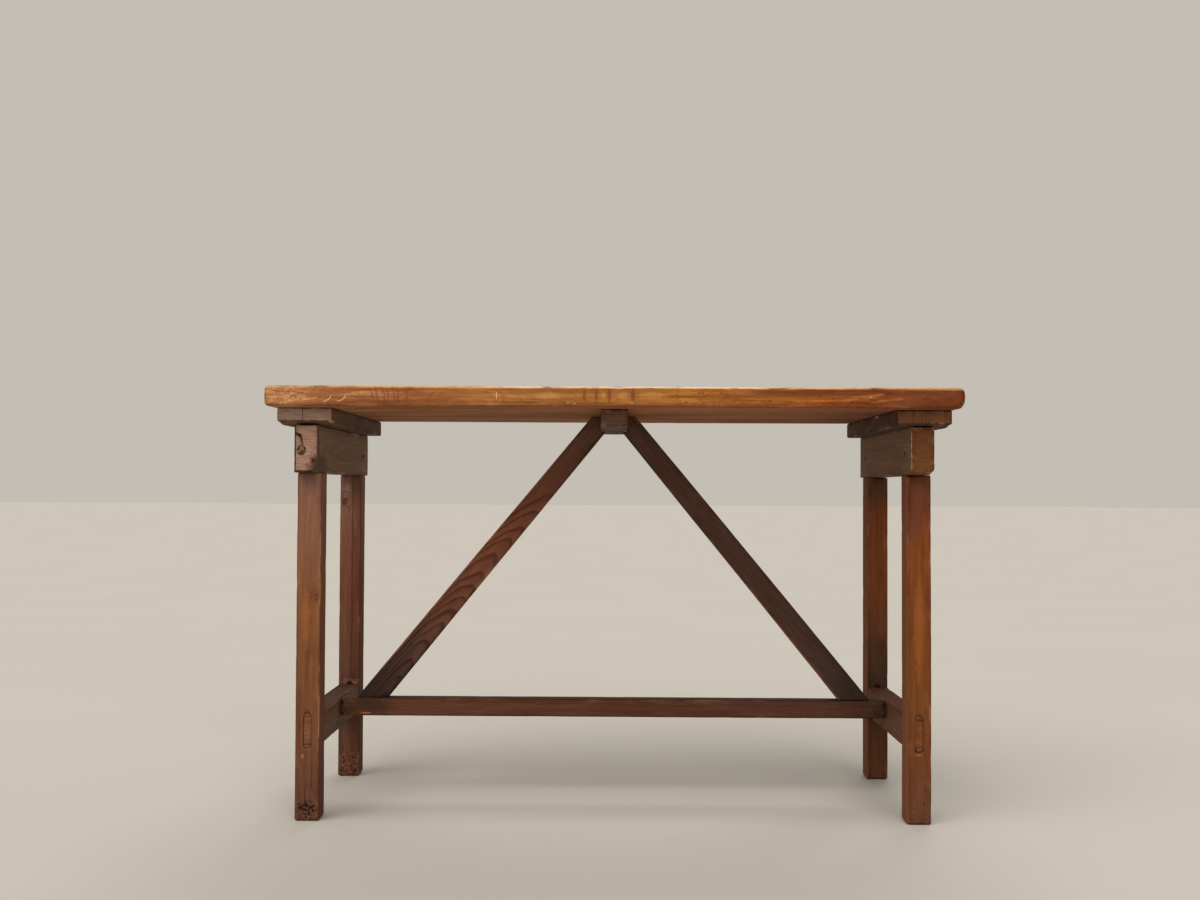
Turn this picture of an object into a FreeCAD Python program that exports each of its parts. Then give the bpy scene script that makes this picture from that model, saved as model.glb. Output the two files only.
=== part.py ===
import FreeCAD, Part
import Sketcher
import os

# Trestle table: a boarded top on two H-shaped ends, a low stretcher and two slanted braces.
# Frame: +X along the table, +Y to the back, +Z up, origin on the floor below the middle.
# All sizes are in millimetres.

DIMENSIONS = {
    # Table top
    "top_length": 1180,
    "top_thickness": 35,
    "front_board_width": 196,
    "middle_board_width": 190,
    "rear_board_width": 188,
    "tongue_thickness": 9,
    "tongue_depth": 10,
    "end_round_left": 4,
    "end_round_right": 8,
    "edge_round": 2,
    "top_front_overhang": 60,
    # Battens under the top
    "batten_thickness": 29,
    "end_batten_width": 95,
    "end_batten_setback": 45,
    "end_batten_bevel_rise": 5.5,
    "end_batten_bevel_run": 40,
    "end_batten_round": 5,
    "centre_batten_width": 48,
    "centre_batten_setback": 60,
    "centre_batten_lap": 63,
    "centre_batten_chamfer": 2.5,
    # Head rails
    "trestle_inset": 60,
    "rail_length": 530,
    "rail_thickness": 40,
    "rail_height": 82,
    "rail_end_chamfer": 4,
    "wane_width": 11,
    "wane_height": 32,
    "wane_length": 60,
    "wane_overshoot": 0.1,
    "wane_bulge": 0.04,
    "corner_cut": 9,
    # Legs
    "leg_width": 42,
    "leg_depth": 50,
    "leg_height": 604,
    "leg_inset": 34,
    "leg_tenon_thickness": 14,
    "leg_tenon_width": 38,
    "leg_tenon_height": 56,
    "leg_arris": 1.5,
    "foot_chamfer": 4,
    # Cross rails
    "cross_rail_thickness": 40,
    "cross_rail_height": 55,
    "cross_rail_bottom": 129,
    "through_tenon_width": 13,
    "through_tenon_height": 48,
    "wedge_length": 40,
    # Stretcher and braces
    "stretcher_depth": 36,
    "stretcher_height": 33,
    "stub_thickness": 14,
    "stub_height": 21,
    "stub_length": 25,
    "brace_foot_gap": 28,
    "brace_head_reach": 41,
    "brace_foot_width": 45,
    "brace_head_width": 38,
    "brace_thickness": 26,
    # Pegs, dowels and nails
    "peg_diameter": 9,
    "peg_height": 39,
    "dowel_diameter": 12,
    "dowel_spacing": 200,
    "dowel_in_rail": 28,
    "dowel_in_batten": 20,
    "nail_length": 55,
    "nail_shank": 5,
    "nail_head": 9,
    "nail_head_thickness": 2.5,
    "nail_point": 14,
    "nail_tip": 1.5,
    "brace_nail_bite": 20,
    "brace_nail_inset": 36,
    # Room between pieces that fit into each other
    "fit": 0.1,
}

# Places that follow from the driving dimensions, as expressions of the sheet
TOTAL_DEPTH = "(Dims.top_front_overhang + Dims.rail_length)"
FRONT_EDGE = f"(-{TOTAL_DEPTH} / 2)"
TRESTLE_X = "(Dims.top_length / 2 - Dims.trestle_inset)"
TRESTLE_Y = "(Dims.top_front_overhang / 2)"
BATTEN_UNDERSIDE = "(Dims.leg_height + Dims.rail_height)"
TOP_UNDERSIDE = f"({BATTEN_UNDERSIDE} + Dims.batten_thickness)"
LEG_Y = "(Dims.rail_length / 2 - Dims.leg_inset - Dims.leg_depth / 2)"
LEG_CLEAR = f"(2 * {LEG_Y} - Dims.leg_depth)"
CROSS_RAIL_TOP = "(Dims.cross_rail_bottom + Dims.cross_rail_height)"
CROSS_RAIL_MIDDLE = "(Dims.cross_rail_bottom + Dims.cross_rail_height / 2)"
STRETCHER_CLEAR = f"(2 * {TRESTLE_X} - Dims.cross_rail_thickness)"
STRETCHER_MIDDLE = f"({CROSS_RAIL_TOP} - Dims.stretcher_height / 2)"
END_BATTEN_LENGTH = f"({TOTAL_DEPTH} - Dims.end_batten_setback)"
END_BATTEN_FRONT = f"({FRONT_EDGE} + Dims.end_batten_setback)"
CENTRE_BATTEN_FRONT = f"({FRONT_EDGE} + Dims.centre_batten_setback)"
CENTRE_BATTEN_LENGTH = (
    "(Dims.front_board_width + Dims.middle_board_width"
    " + Dims.centre_batten_lap - Dims.centre_batten_setback)"
)
BATTEN_NAIL_OFFSET = "((Dims.rail_thickness + Dims.end_batten_width) / 4)"
BATTEN_NAIL_BITE = "(Dims.nail_length - Dims.batten_thickness)"
NAIL_HOLE = "(Dims.nail_shank + 2 * Dims.fit)"
NAIL_RECESS = "(Dims.nail_head + 2 * Dims.fit)"
BRACE_FOOT_X = f"({STRETCHER_CLEAR} / 2 - Dims.brace_foot_gap)"
FOOT_NAIL_X = f"({BRACE_FOOT_X} - Dims.brace_nail_inset)"
FOOT_NAIL_TOP = f"({CROSS_RAIL_TOP} - Dims.brace_nail_bite + Dims.nail_length)"
HEAD_NAIL_X = "((Dims.brace_head_reach + Dims.centre_batten_width / 2) / 2)"
HEAD_NAIL_BOTTOM = f"({TOP_UNDERSIDE} + Dims.brace_nail_bite - Dims.nail_length)"
DOWEL_HOLE = "(Dims.dowel_diameter + 2 * Dims.fit)"
PEG_HOLE = "(Dims.peg_diameter + 2 * Dims.fit)"

# Each board's label, width, place of its front edge behind the top's front edge,
# and place of its centre batten nail behind its own front edge
BOARDS = (
    ("top_board_front", "Dims.front_board_width", "0", "Dims.front_board_width / 2"),
    ("top_board_middle", "Dims.middle_board_width", "Dims.front_board_width",
     "Dims.middle_board_width / 2"),
    ("top_board_rear", "Dims.rear_board_width",
     "(Dims.front_board_width + Dims.middle_board_width)", "Dims.centre_batten_lap / 2"),
)
SIDES = (("left", -1), ("right", 1))
ENDS = (("front", -1), ("rear", 1))
SAME_PLACE = 0.001

doc = FreeCAD.newDocument("TrestleTable")
sheet = doc.addObject("Spreadsheet::Sheet", "Dims")
for row, (alias, size) in enumerate(DIMENSIONS.items(), start=1):
    sheet.set(f"A{row}", alias)
    sheet.set(f"B{row}", str(size))
    sheet.setAlias(f"B{row}", alias)
doc.recompute()
nodes = []


# Sketches and features

def number(expression):
    """The present value of an expression of the sheet."""
    return float(sheet.evalExpression(expression))


def new_body(label):
    body = doc.addObject("PartDesign::Body", label)
    body.Label = label
    return body


def new_sketch(body, role, offset="0"):
    """A sketch on one of the body's origin planes, moved along that plane's normal."""
    sketch = body.newObject("Sketcher::SketchObject", "Sketch")
    plane = next(f for f in body.Origin.OriginFeatures if f.Role == role)
    sketch.AttachmentSupport = (plane, "")
    sketch.MapMode = "FlatFace"
    sketch.setExpression("AttachmentOffset.Base.z", offset)
    return sketch


def bind(sketch, constraint, expression):
    index = sketch.addConstraint(constraint)
    sketch.setExpression(f"Constraints[{index}]", expression)


def pin(sketch, geometry, point, x, y):
    """Hold a point of a sketch at a place given by two expressions."""
    bind(sketch, Sketcher.Constraint("DistanceX", -1, 1, geometry, point, number(x)), x)
    bind(sketch, Sketcher.Constraint("DistanceY", -1, 1, geometry, point, number(y)), y)


def add_line(sketch, start, end):
    ends = [FreeCAD.Vector(number(x), number(y), 0) for x, y in (start, end)]
    return sketch.addGeometry(Part.LineSegment(*ends), False)


def outline(sketch, points):
    """A closed outline of straight lines through points given as expressions."""
    lines = [add_line(sketch, a, b) for a, b in zip(points, points[1:] + points[:1])]
    for line, following in zip(lines, lines[1:] + lines[:1]):
        sketch.addConstraint(Sketcher.Constraint("Coincident", line, 2, following, 1))
    for line, (x, y) in zip(lines, points):
        pin(sketch, line, 1, x, y)
    return lines


def rectangle(sketch, width, height, x="0", y="0"):
    """A rectangle about a centre."""
    left, right = f"{x} - {width} / 2", f"{x} + {width} / 2"
    low, high = f"{y} - {height} / 2", f"{y} + {height} / 2"
    outline(sketch, [(left, low), (right, low), (right, high), (left, high)])


def squares(sketch, centres, width):
    for x, y in centres:
        rectangle(sketch, width, width, x, y)


def circles(sketch, centres, diameter):
    for x, y in centres:
        middle = FreeCAD.Vector(number(x), number(y), 0)
        normal = FreeCAD.Vector(0, 0, 1)
        circle = sketch.addGeometry(Part.Circle(middle, normal, number(diameter) / 2), False)
        pin(sketch, circle, 3, x, y)
        bind(sketch, Sketcher.Constraint("Diameter", circle, number(diameter)), diameter)


def arc_between(sketch, start, through, end):
    """An arc from one point to another by way of a third, all given as expressions."""
    points = [FreeCAD.Vector(number(x), number(y), 0) for x, y in (start, through, end)]
    return sketch.addGeometry(Part.Arc(*points), False)


def half_round(sketch, radius, base, upward):
    """A half disc whose flat side lies level at the height base."""
    rise = f"{base} + {radius}" if upward else f"{base} - {radius}"
    left, right = (f"-{radius}", base), (radius, base)
    flat = add_line(sketch, left, right)
    arc = arc_between(sketch, right, ("0", rise), left)
    first, last = (1, 2) if upward else (2, 1)
    sketch.addConstraint(Sketcher.Constraint("Coincident", flat, 2, arc, first))
    sketch.addConstraint(Sketcher.Constraint("Coincident", flat, 1, arc, last))
    pin(sketch, flat, 1, *left)
    pin(sketch, flat, 2, *right)
    bind(sketch, Sketcher.Constraint("DistanceY", -1, 1, arc, 3, number(base)), base)


def pad(body, sketch, length, midplane=False, backward=False):
    feature = body.newObject("PartDesign::Pad", "Pad")
    feature.Profile = sketch
    feature.setExpression("Length", length)
    feature.Midplane = midplane
    feature.Reversed = backward
    doc.recompute()


def pocket(body, sketch, length, midplane=False, forward=False):
    """A cut against the sketch's normal, or along it when forward, that has to remove something."""
    before = body.Shape.Volume
    feature = body.newObject("PartDesign::Pocket", "Pocket")
    feature.Profile = sketch
    feature.setExpression("Length", length)
    feature.Midplane = midplane
    feature.Reversed = forward
    doc.recompute()
    if not body.Shape.Volume < before:
        raise RuntimeError(f"{body.Label}: a pocket removed nothing")


def ease(body, kind, size_property, size, test):
    """Chamfer or round the edges of a body that pass a test."""
    base = body.Tip
    names = [f"Edge{i}" for i, edge in enumerate(base.Shape.Edges, start=1) if test(edge)]
    feature = body.newObject(f"PartDesign::{kind}", kind)
    feature.Base = (base, names)
    feature.setExpression(size_property, size)
    doc.recompute()


def chamfer(body, size, test):
    ease(body, "Chamfer", "Size", size, test)


def fillet(body, radius, test):
    ease(body, "Fillet", "Radius", radius, test)


def lies_at(edge, **places):
    """True where all of an edge's ends have the given coordinates, such as X=5."""
    return all(abs(getattr(vertex, axis) - place) < SAME_PLACE
               for vertex in edge.Vertexes for axis, place in places.items())


def place(piece, x, y, z, half_turn=False):
    if half_turn:
        piece.Placement.Rotation = FreeCAD.Rotation(FreeCAD.Vector(0, 0, 1), 180)
    for axis, expression in zip("xyz", (x, y, z)):
        piece.setExpression(f"Placement.Base.{axis}", expression)


def finish(piece):
    nodes.append(piece)


def group(label, pieces):
    """Like pieces, each its own solid, kept together under one label."""
    compound = doc.addObject("Part::Compound", label)
    compound.Label = label
    compound.Links = pieces
    nodes.append(compound)


# Table top

def board_outline(width, has_groove, has_tongue):
    """Section of a board across its length: underside at height 0, front edge at 0."""
    tongue_low = "((Dims.top_thickness - Dims.tongue_thickness) / 2)"
    tongue_high = "((Dims.top_thickness + Dims.tongue_thickness) / 2)"
    points = [("0", "0"), (width, "0")]
    if has_tongue:
        reach = f"{width} + Dims.tongue_depth"
        points += [(width, tongue_low), (reach, tongue_low), (reach, tongue_high), (width, tongue_high)]
    points += [(width, "Dims.top_thickness"), ("0", "Dims.top_thickness")]
    if has_groove:
        depth = "Dims.tongue_depth + Dims.fit"
        high, low = f"{tongue_high} + Dims.fit", f"{tongue_low} - Dims.fit"
        points += [("0", high), (depth, high), (depth, low), ("0", low)]
    return points


def top_board(label, width, front, centre_nail):
    is_first, is_last = label == BOARDS[0][0], label == BOARDS[-1][0]
    body = new_body(label)
    section = new_sketch(body, "YZ_Plane")
    outline(section, board_outline(width, not is_first, not is_last))
    pad(body, section, "Dims.top_length", midplane=True)

    nails = [(f"{side} * {TRESTLE_X} + {row} * {BATTEN_NAIL_OFFSET}", f"{width} / 2")
             for _, side in SIDES for row in (-1, 1)]
    holes = new_sketch(body, "XY_Plane")
    squares(holes, nails + [("0", centre_nail)], NAIL_HOLE)
    pocket(body, holes, f"{BATTEN_NAIL_BITE} + Dims.fit", forward=True)
    if not is_first and not is_last:
        nail_y = f"{TRESTLE_Y} - {FRONT_EDGE} - {front}"
        holes = new_sketch(body, "XY_Plane")
        squares(holes, [(f"{side} * {HEAD_NAIL_X}", nail_y) for _, side in SIDES], NAIL_HOLE)
        pocket(body, holes, "Dims.brace_nail_bite + Dims.fit", forward=True)

    end, thickness = number("Dims.top_length / 2"), number("Dims.top_thickness")
    for side, radius in ((-1, "Dims.end_round_left"), (1, "Dims.end_round_right")):
        fillet(body, radius, lambda edge: lies_at(edge, X=side * end, Z=0)
               or lies_at(edge, X=side * end, Z=thickness))
    if is_first:
        fillet(body, "Dims.edge_round", lambda edge: lies_at(edge, Y=0))
    if is_last:
        back = number(width)
        fillet(body, "Dims.edge_round", lambda edge: lies_at(edge, Y=back))
    place(body, "0", f"{FRONT_EDGE} + {front}", TOP_UNDERSIDE)
    finish(body)


# Battens

def nail_holes(body, centres):
    """Holes for nails driven up into a batten, their heads sunk flush with its underside."""
    holes = new_sketch(body, "XY_Plane")
    squares(holes, centres, NAIL_HOLE)
    pocket(body, holes, "Dims.batten_thickness", forward=True)
    recesses = new_sketch(body, "XY_Plane")
    squares(recesses, centres, NAIL_RECESS)
    pocket(body, recesses, "Dims.nail_head_thickness", forward=True)


def end_batten_nails():
    """Places of an end batten's nails: two under the middle of each board."""
    return [(f"{row} * {BATTEN_NAIL_OFFSET}", f"{front} + {width} / 2 - Dims.end_batten_setback")
            for _, width, front, _ in BOARDS for row in (-1, 1)]


def end_batten(label, side):
    body = new_body(label)
    section = new_sketch(body, "YZ_Plane")
    outline(section, [
        ("0", "Dims.end_batten_bevel_rise"),
        ("Dims.end_batten_bevel_run", "0"),
        (END_BATTEN_LENGTH, "0"),
        (END_BATTEN_LENGTH, "Dims.batten_thickness"),
        ("0", "Dims.batten_thickness"),
    ])
    pad(body, section, "Dims.end_batten_width", midplane=True)
    back = number(END_BATTEN_LENGTH)
    thickness = number("Dims.batten_thickness")
    fillet(body, "Dims.end_batten_round", lambda edge: lies_at(edge, Y=back, Z=0)
           or lies_at(edge, Y=back, Z=thickness))
    nail_holes(body, end_batten_nails())
    dowels = new_sketch(body, "XY_Plane")
    middle = f"{TRESTLE_Y} - {END_BATTEN_FRONT}"
    circles(dowels, [("0", f"{middle} + {end} * Dims.dowel_spacing / 2") for _, end in ENDS], DOWEL_HOLE)
    pocket(body, dowels, "Dims.dowel_in_batten + Dims.fit", forward=True)
    place(body, f"{side} * {TRESTLE_X}", END_BATTEN_FRONT, BATTEN_UNDERSIDE)
    finish(body)


def centre_batten_nails():
    """Places of the centre batten's nails, one in each board."""
    return [("0", f"{front} + {nail} - Dims.centre_batten_setback") for _, _, front, nail in BOARDS]


def centre_batten(label):
    body = new_body(label)
    plan = new_sketch(body, "XY_Plane")
    rectangle(plan, "Dims.centre_batten_width", CENTRE_BATTEN_LENGTH, y=f"{CENTRE_BATTEN_LENGTH} / 2")
    pad(body, plan, "Dims.batten_thickness")
    chamfer(body, "Dims.centre_batten_chamfer", lambda edge: lies_at(edge, Y=0, Z=0))
    nail_holes(body, centre_batten_nails())
    place(body, "0", CENTRE_BATTEN_FRONT, BATTEN_UNDERSIDE)
    finish(body)


# Head rails

def wane(body):
    """Round off the rail's front inner lower corner, dying out towards the back."""
    sections = []
    corner = ("(Dims.rail_thickness / 2 + Dims.wane_width * Dims.wane_overshoot)",
              "(-Dims.wane_height * Dims.wane_overshoot)")
    for scale, back in (("(1 + 2 * Dims.wane_overshoot)", "0"), ("Dims.wane_overshoot", "Dims.wane_length")):
        width, height = f"({scale} * Dims.wane_width)", f"({scale} * Dims.wane_height)"
        foot = (f"{corner[0]} - {width}", corner[1])
        shoulder = (corner[0], f"{corner[1]} + {height}")
        chord = f"sqrt(pow({width}; 2) + pow({height}; 2))"
        bulge = (f"{foot[0]} + {width} / 2 + {height} * Dims.wane_bulge",
                 f"{foot[1]} + {height} / 2 - {width} * Dims.wane_bulge")
        section = new_sketch(body, "XZ_Plane", f"Dims.rail_length / 2 - {back}")
        low = add_line(section, foot, corner)
        tall = add_line(section, corner, shoulder)
        arc = arc_between(section, foot, bulge, shoulder)
        section.addConstraint(Sketcher.Constraint("Coincident", low, 2, tall, 1))
        section.addConstraint(Sketcher.Constraint("Coincident", tall, 2, arc, 2))
        section.addConstraint(Sketcher.Constraint("Coincident", low, 1, arc, 1))
        pin(section, low, 1, *foot)
        pin(section, low, 2, *corner)
        pin(section, tall, 2, *shoulder)
        bend = f"{chord} * (1 / (8 * Dims.wane_bulge) + Dims.wane_bulge / 2)"
        bind(section, Sketcher.Constraint("Radius", arc, number(bend)), bend)
        sections.append(section)
    before = body.Shape.Volume
    loft = body.newObject("PartDesign::SubtractiveLoft", "Wane")
    loft.Profile = sections[0]
    loft.Sections = sections[1:]
    doc.recompute()
    if not body.Shape.Volume < before:
        raise RuntimeError("the wane removed nothing")


def head_rail(label, side):
    body = new_body(label)
    plan = new_sketch(body, "XY_Plane")
    rectangle(plan, "Dims.rail_thickness", "Dims.rail_length")
    pad(body, plan, "Dims.rail_height")
    front = number("-Dims.rail_length / 2")
    outer = side * number("Dims.rail_thickness / 2")
    if side < 0:
        wane(body)
    else:
        chamfer(body, "Dims.rail_end_chamfer", lambda edge: lies_at(edge, Y=front, Z=0))
        cut = new_sketch(body, "XZ_Plane", "Dims.rail_length / 2")
        corner = "Dims.rail_thickness / 2"
        outline(cut, [(corner, "0"), (corner, "Dims.corner_cut"), (f"{corner} - Dims.corner_cut", "0")])
        pocket(body, cut, "Dims.leg_inset")

    mortises = new_sketch(body, "XY_Plane")
    for _, end in ENDS:
        rectangle(mortises, "(Dims.leg_tenon_thickness + 2 * Dims.fit)",
                  "(Dims.leg_tenon_width + 2 * Dims.fit)", y=f"{end} * {LEG_Y}")
    pocket(body, mortises, "Dims.leg_tenon_height + Dims.fit", forward=True)
    pegs = new_sketch(body, "YZ_Plane")
    circles(pegs, [(f"{end} * {LEG_Y}", "Dims.peg_height") for _, end in ENDS], PEG_HOLE)
    pocket(body, pegs, "2 * Dims.rail_thickness", midplane=True)
    dowels = new_sketch(body, "XY_Plane", "Dims.rail_height")
    circles(dowels, [("0", f"{end} * Dims.dowel_spacing / 2") for _, end in ENDS], DOWEL_HOLE)
    pocket(body, dowels, "Dims.dowel_in_rail + Dims.fit")
    place(body, f"{side} * {TRESTLE_X}", TRESTLE_Y, "Dims.leg_height")
    finish(body)


# Legs

def leg(label, side, end):
    body = new_body(label)
    plan = new_sketch(body, "XY_Plane")
    rectangle(plan, "Dims.leg_width", "Dims.leg_depth")
    pad(body, plan, "Dims.leg_height")
    chamfer(body, "Dims.foot_chamfer", lambda edge: lies_at(edge, Z=0))
    chamfer(body, "Dims.leg_arris", lambda edge: edge.BoundBox.ZLength > SAME_PLACE)
    tenon = new_sketch(body, "XY_Plane", "Dims.leg_height")
    rectangle(tenon, "Dims.leg_tenon_thickness", "Dims.leg_tenon_width")
    pad(body, tenon, "Dims.leg_tenon_height")
    peg = new_sketch(body, "YZ_Plane")
    circles(peg, [("0", "Dims.leg_height + Dims.peg_height")], PEG_HOLE)
    pocket(body, peg, "2 * Dims.leg_tenon_thickness", midplane=True)

    # The through mortise is a rectangle with a half round at each end
    width = "(Dims.through_tenon_width + 2 * Dims.fit)"
    height = "(Dims.through_tenon_height + 2 * Dims.fit)"
    mortise = new_sketch(body, "XZ_Plane")
    rectangle(mortise, width, height, y=CROSS_RAIL_MIDDLE)
    pocket(body, mortise, "2 * Dims.leg_depth", midplane=True)
    for upward, direction in ((False, -1), (True, 1)):
        rounding = new_sketch(body, "XZ_Plane")
        half_round(rounding, f"{width} / 2", f"{CROSS_RAIL_MIDDLE} + {direction} * {height} / 2", upward)
        pocket(body, rounding, "2 * Dims.leg_depth", midplane=True)
    place(body, f"{side} * {TRESTLE_X}", f"{TRESTLE_Y} + {end} * {LEG_Y}", "0")
    finish(body)


# Cross rails, stretcher and braces

def cross_rail(label, side):
    """A rail with a through tenon at each end, and a mortise for the stretcher in its inner face."""
    body = new_body(label)
    section = new_sketch(body, "XZ_Plane")
    rectangle(section, "Dims.cross_rail_thickness", "Dims.cross_rail_height")
    pad(body, section, LEG_CLEAR, midplane=True)
    tenons = new_sketch(body, "XZ_Plane")
    rectangle(tenons, "Dims.through_tenon_width", "Dims.through_tenon_height")
    pad(body, tenons, f"{LEG_CLEAR} + 2 * Dims.leg_depth", midplane=True)
    mortise = new_sketch(body, "YZ_Plane", "Dims.cross_rail_thickness / 2")
    rectangle(mortise, "(Dims.stub_thickness + 2 * Dims.fit)", "(Dims.stub_height + 2 * Dims.fit)",
              y=f"{STRETCHER_MIDDLE} - {CROSS_RAIL_MIDDLE}")
    pocket(body, mortise, "Dims.stub_length + Dims.fit")
    place(body, f"{side} * {TRESTLE_X}", TRESTLE_Y, CROSS_RAIL_MIDDLE, half_turn=side > 0)
    finish(body)


def stretcher(label):
    body = new_body(label)
    section = new_sketch(body, "YZ_Plane")
    rectangle(section, "Dims.stretcher_depth", "Dims.stretcher_height")
    pad(body, section, STRETCHER_CLEAR, midplane=True)
    stubs = new_sketch(body, "YZ_Plane")
    rectangle(stubs, "Dims.stub_thickness", "Dims.stub_height")
    pad(body, stubs, f"{STRETCHER_CLEAR} + 2 * Dims.stub_length", midplane=True)
    holes = new_sketch(body, "XY_Plane", "Dims.stretcher_height / 2")
    squares(holes, [(f"{side} * {FOOT_NAIL_X}", "0") for _, side in SIDES], NAIL_HOLE)
    pocket(body, holes, "Dims.brace_nail_bite + Dims.fit")
    place(body, "0", TRESTLE_Y, STRETCHER_MIDDLE)
    finish(body)


def brace(label, side):
    """A slanted, tapered brace: a level foot on the stretcher, a head notched round the centre batten."""
    body = new_body(label)
    sketch = new_sketch(body, "XZ_Plane")
    batten_side = "-Dims.centre_batten_width / 2"
    outer_foot = (f"-{BRACE_FOOT_X}", CROSS_RAIL_TOP)
    outer_head = ("-Dims.brace_head_reach", TOP_UNDERSIDE)
    inner_head = (batten_side, TOP_UNDERSIDE)
    notch = (batten_side, BATTEN_UNDERSIDE)
    rise = f"({TOP_UNDERSIDE} - {CROSS_RAIL_TOP})"
    run = f"({BRACE_FOOT_X} - Dims.brace_head_reach)"
    level = f"sqrt(1 + pow({run} / {rise}; 2))"
    inner_foot = (f"Dims.brace_foot_width * {level} - {BRACE_FOOT_X}", CROSS_RAIL_TOP)
    outer_edge = f"(({BATTEN_UNDERSIDE} - {CROSS_RAIL_TOP}) * {run} / {rise} - {BRACE_FOOT_X})"
    toe = (f"{outer_edge} + Dims.brace_head_width * {level}", BATTEN_UNDERSIDE)
    outline(sketch, [outer_foot, outer_head, inner_head, notch, toe, inner_foot])
    pad(body, sketch, "Dims.brace_thickness", midplane=True)
    holes = new_sketch(body, "XY_Plane")
    squares(holes, [(f"-{FOOT_NAIL_X}", "0"), (f"-{HEAD_NAIL_X}", "0")], NAIL_HOLE)
    pocket(body, holes, TOP_UNDERSIDE, forward=True)
    recess = new_sketch(body, "XY_Plane", f"{FOOT_NAIL_TOP} - Dims.nail_head_thickness")
    squares(recess, [(f"-{FOOT_NAIL_X}", "0")], NAIL_RECESS)
    pocket(body, recess, "Dims.nail_length", forward=True)
    recess = new_sketch(body, "XY_Plane", f"{HEAD_NAIL_BOTTOM} + Dims.nail_head_thickness")
    squares(recess, [(f"-{HEAD_NAIL_X}", "0")], NAIL_RECESS)
    pocket(body, recess, "Dims.nail_length")
    place(body, "0", TRESTLE_Y, "0", half_turn=side > 0)
    finish(body)


# Pegs, wedges, dowels and nails

def cut_nail():
    """A square nail that points up, with its head's outer face at height 0."""
    body = new_body("Nail")
    sections = (
        ("Dims.nail_head", "0"),
        ("Dims.nail_shank", "0"),
        ("Dims.nail_shank", "Dims.nail_length - Dims.nail_point"),
        ("Dims.nail_tip", "Dims.nail_length"),
    )
    sketches = []
    for width, height in sections:
        sketch = new_sketch(body, "XY_Plane", height)
        rectangle(sketch, width, width)
        sketches.append(sketch)
    head, shank, point, tip = sketches
    pad(body, head, "Dims.nail_head_thickness")
    pad(body, shank, "Dims.nail_length - Dims.nail_point")
    taper = body.newObject("PartDesign::AdditiveLoft", "Point")
    taper.Profile = point
    taper.Sections = [tip]
    taper.Ruled = True
    doc.recompute()
    return body


def leg_pegs(label):
    pegs = []
    for _, side in SIDES:
        for _, end in ENDS:
            peg = doc.addObject("Part::Cylinder", "Peg")
            peg.setExpression("Radius", "Dims.peg_diameter / 2")
            peg.setExpression("Height", "Dims.rail_thickness")
            peg.Placement.Rotation = FreeCAD.Rotation(FreeCAD.Vector(0, 1, 0), 90)
            place(peg, f"{side} * {TRESTLE_X} - Dims.rail_thickness / 2",
                  f"{TRESTLE_Y} + {end} * {LEG_Y}", "Dims.leg_height + Dims.peg_height")
            pegs.append(peg)
    group(label, pegs)


def tenon_wedges(label):
    """Half-round wedges above and below each through tenon, driven in from the leg's outer face."""
    wedges = []
    radius = "(Dims.through_tenon_width / 2)"
    for _, side in SIDES:
        for _, end in ENDS:
            for upward, direction in ((False, -1), (True, 1)):
                wedge = new_body("Wedge")
                section = new_sketch(wedge, "XZ_Plane")
                flat = f"{direction} * (Dims.through_tenon_height / 2 + Dims.fit)"
                half_round(section, radius, flat, upward)
                pad(wedge, section, "Dims.wedge_length", backward=True)
                outer_face = f"{TRESTLE_Y} + {end} * ({LEG_Y} + Dims.leg_depth / 2)"
                place(wedge, f"{side} * {TRESTLE_X}", outer_face, CROSS_RAIL_MIDDLE, half_turn=end > 0)
                wedges.append(wedge)
    group(label, wedges)


def rail_dowels(label):
    dowels = []
    for _, side in SIDES:
        for _, end in ENDS:
            dowel = doc.addObject("Part::Cylinder", "Dowel")
            dowel.setExpression("Radius", "Dims.dowel_diameter / 2")
            dowel.setExpression("Height", "Dims.dowel_in_rail + Dims.dowel_in_batten")
            place(dowel, f"{side} * {TRESTLE_X}", f"{TRESTLE_Y} + {end} * Dims.dowel_spacing / 2",
                  f"{BATTEN_UNDERSIDE} - Dims.dowel_in_rail")
            dowels.append(dowel)
    group(label, dowels)


def batten_nails(label):
    places = [("0", x, f"{CENTRE_BATTEN_FRONT} + {y}") for x, y in centre_batten_nails()]
    for _, side in SIDES:
        places += [(f"{side} * {TRESTLE_X}", x, f"{END_BATTEN_FRONT} + {y}")
                   for x, y in end_batten_nails()]
    nails = []
    for middle, x, y in places:
        nail = cut_nail()
        place(nail, f"{middle} + {x}", y, BATTEN_UNDERSIDE)
        nails.append(nail)
    group(label, nails)


def brace_nails(label):
    """Nails down through the braces' feet into the stretcher, and up through their heads into the top."""
    nails = []
    for _, side in SIDES:
        nail = cut_nail()
        place(nail, f"{side} * {HEAD_NAIL_X}", TRESTLE_Y, HEAD_NAIL_BOTTOM)
        nails.append(nail)
        nail = cut_nail()
        nail.Placement.Rotation = FreeCAD.Rotation(FreeCAD.Vector(1, 0, 0), 180)
        place(nail, f"{side} * {FOOT_NAIL_X}", TRESTLE_Y, FOOT_NAIL_TOP)
        nails.append(nail)
    group(label, nails)


# The table

for board in BOARDS:
    top_board(*board)
centre_batten("batten_centre")
for side_name, side in SIDES:
    end_batten(f"batten_{side_name}", side)
    head_rail(f"head_rail_{side_name}", side)
    for end_name, end in ENDS:
        leg(f"leg_{end_name}_{side_name}", side, end)
    cross_rail(f"cross_rail_{side_name}", side)
    brace(f"brace_{side_name}", side)
stretcher("stretcher")
leg_pegs("leg_pegs")
tenon_wedges("tenon_wedges")
rail_dowels("rail_dowels")
batten_nails("batten_nails")
brace_nails("brace_nails")
doc.recompute()

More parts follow.
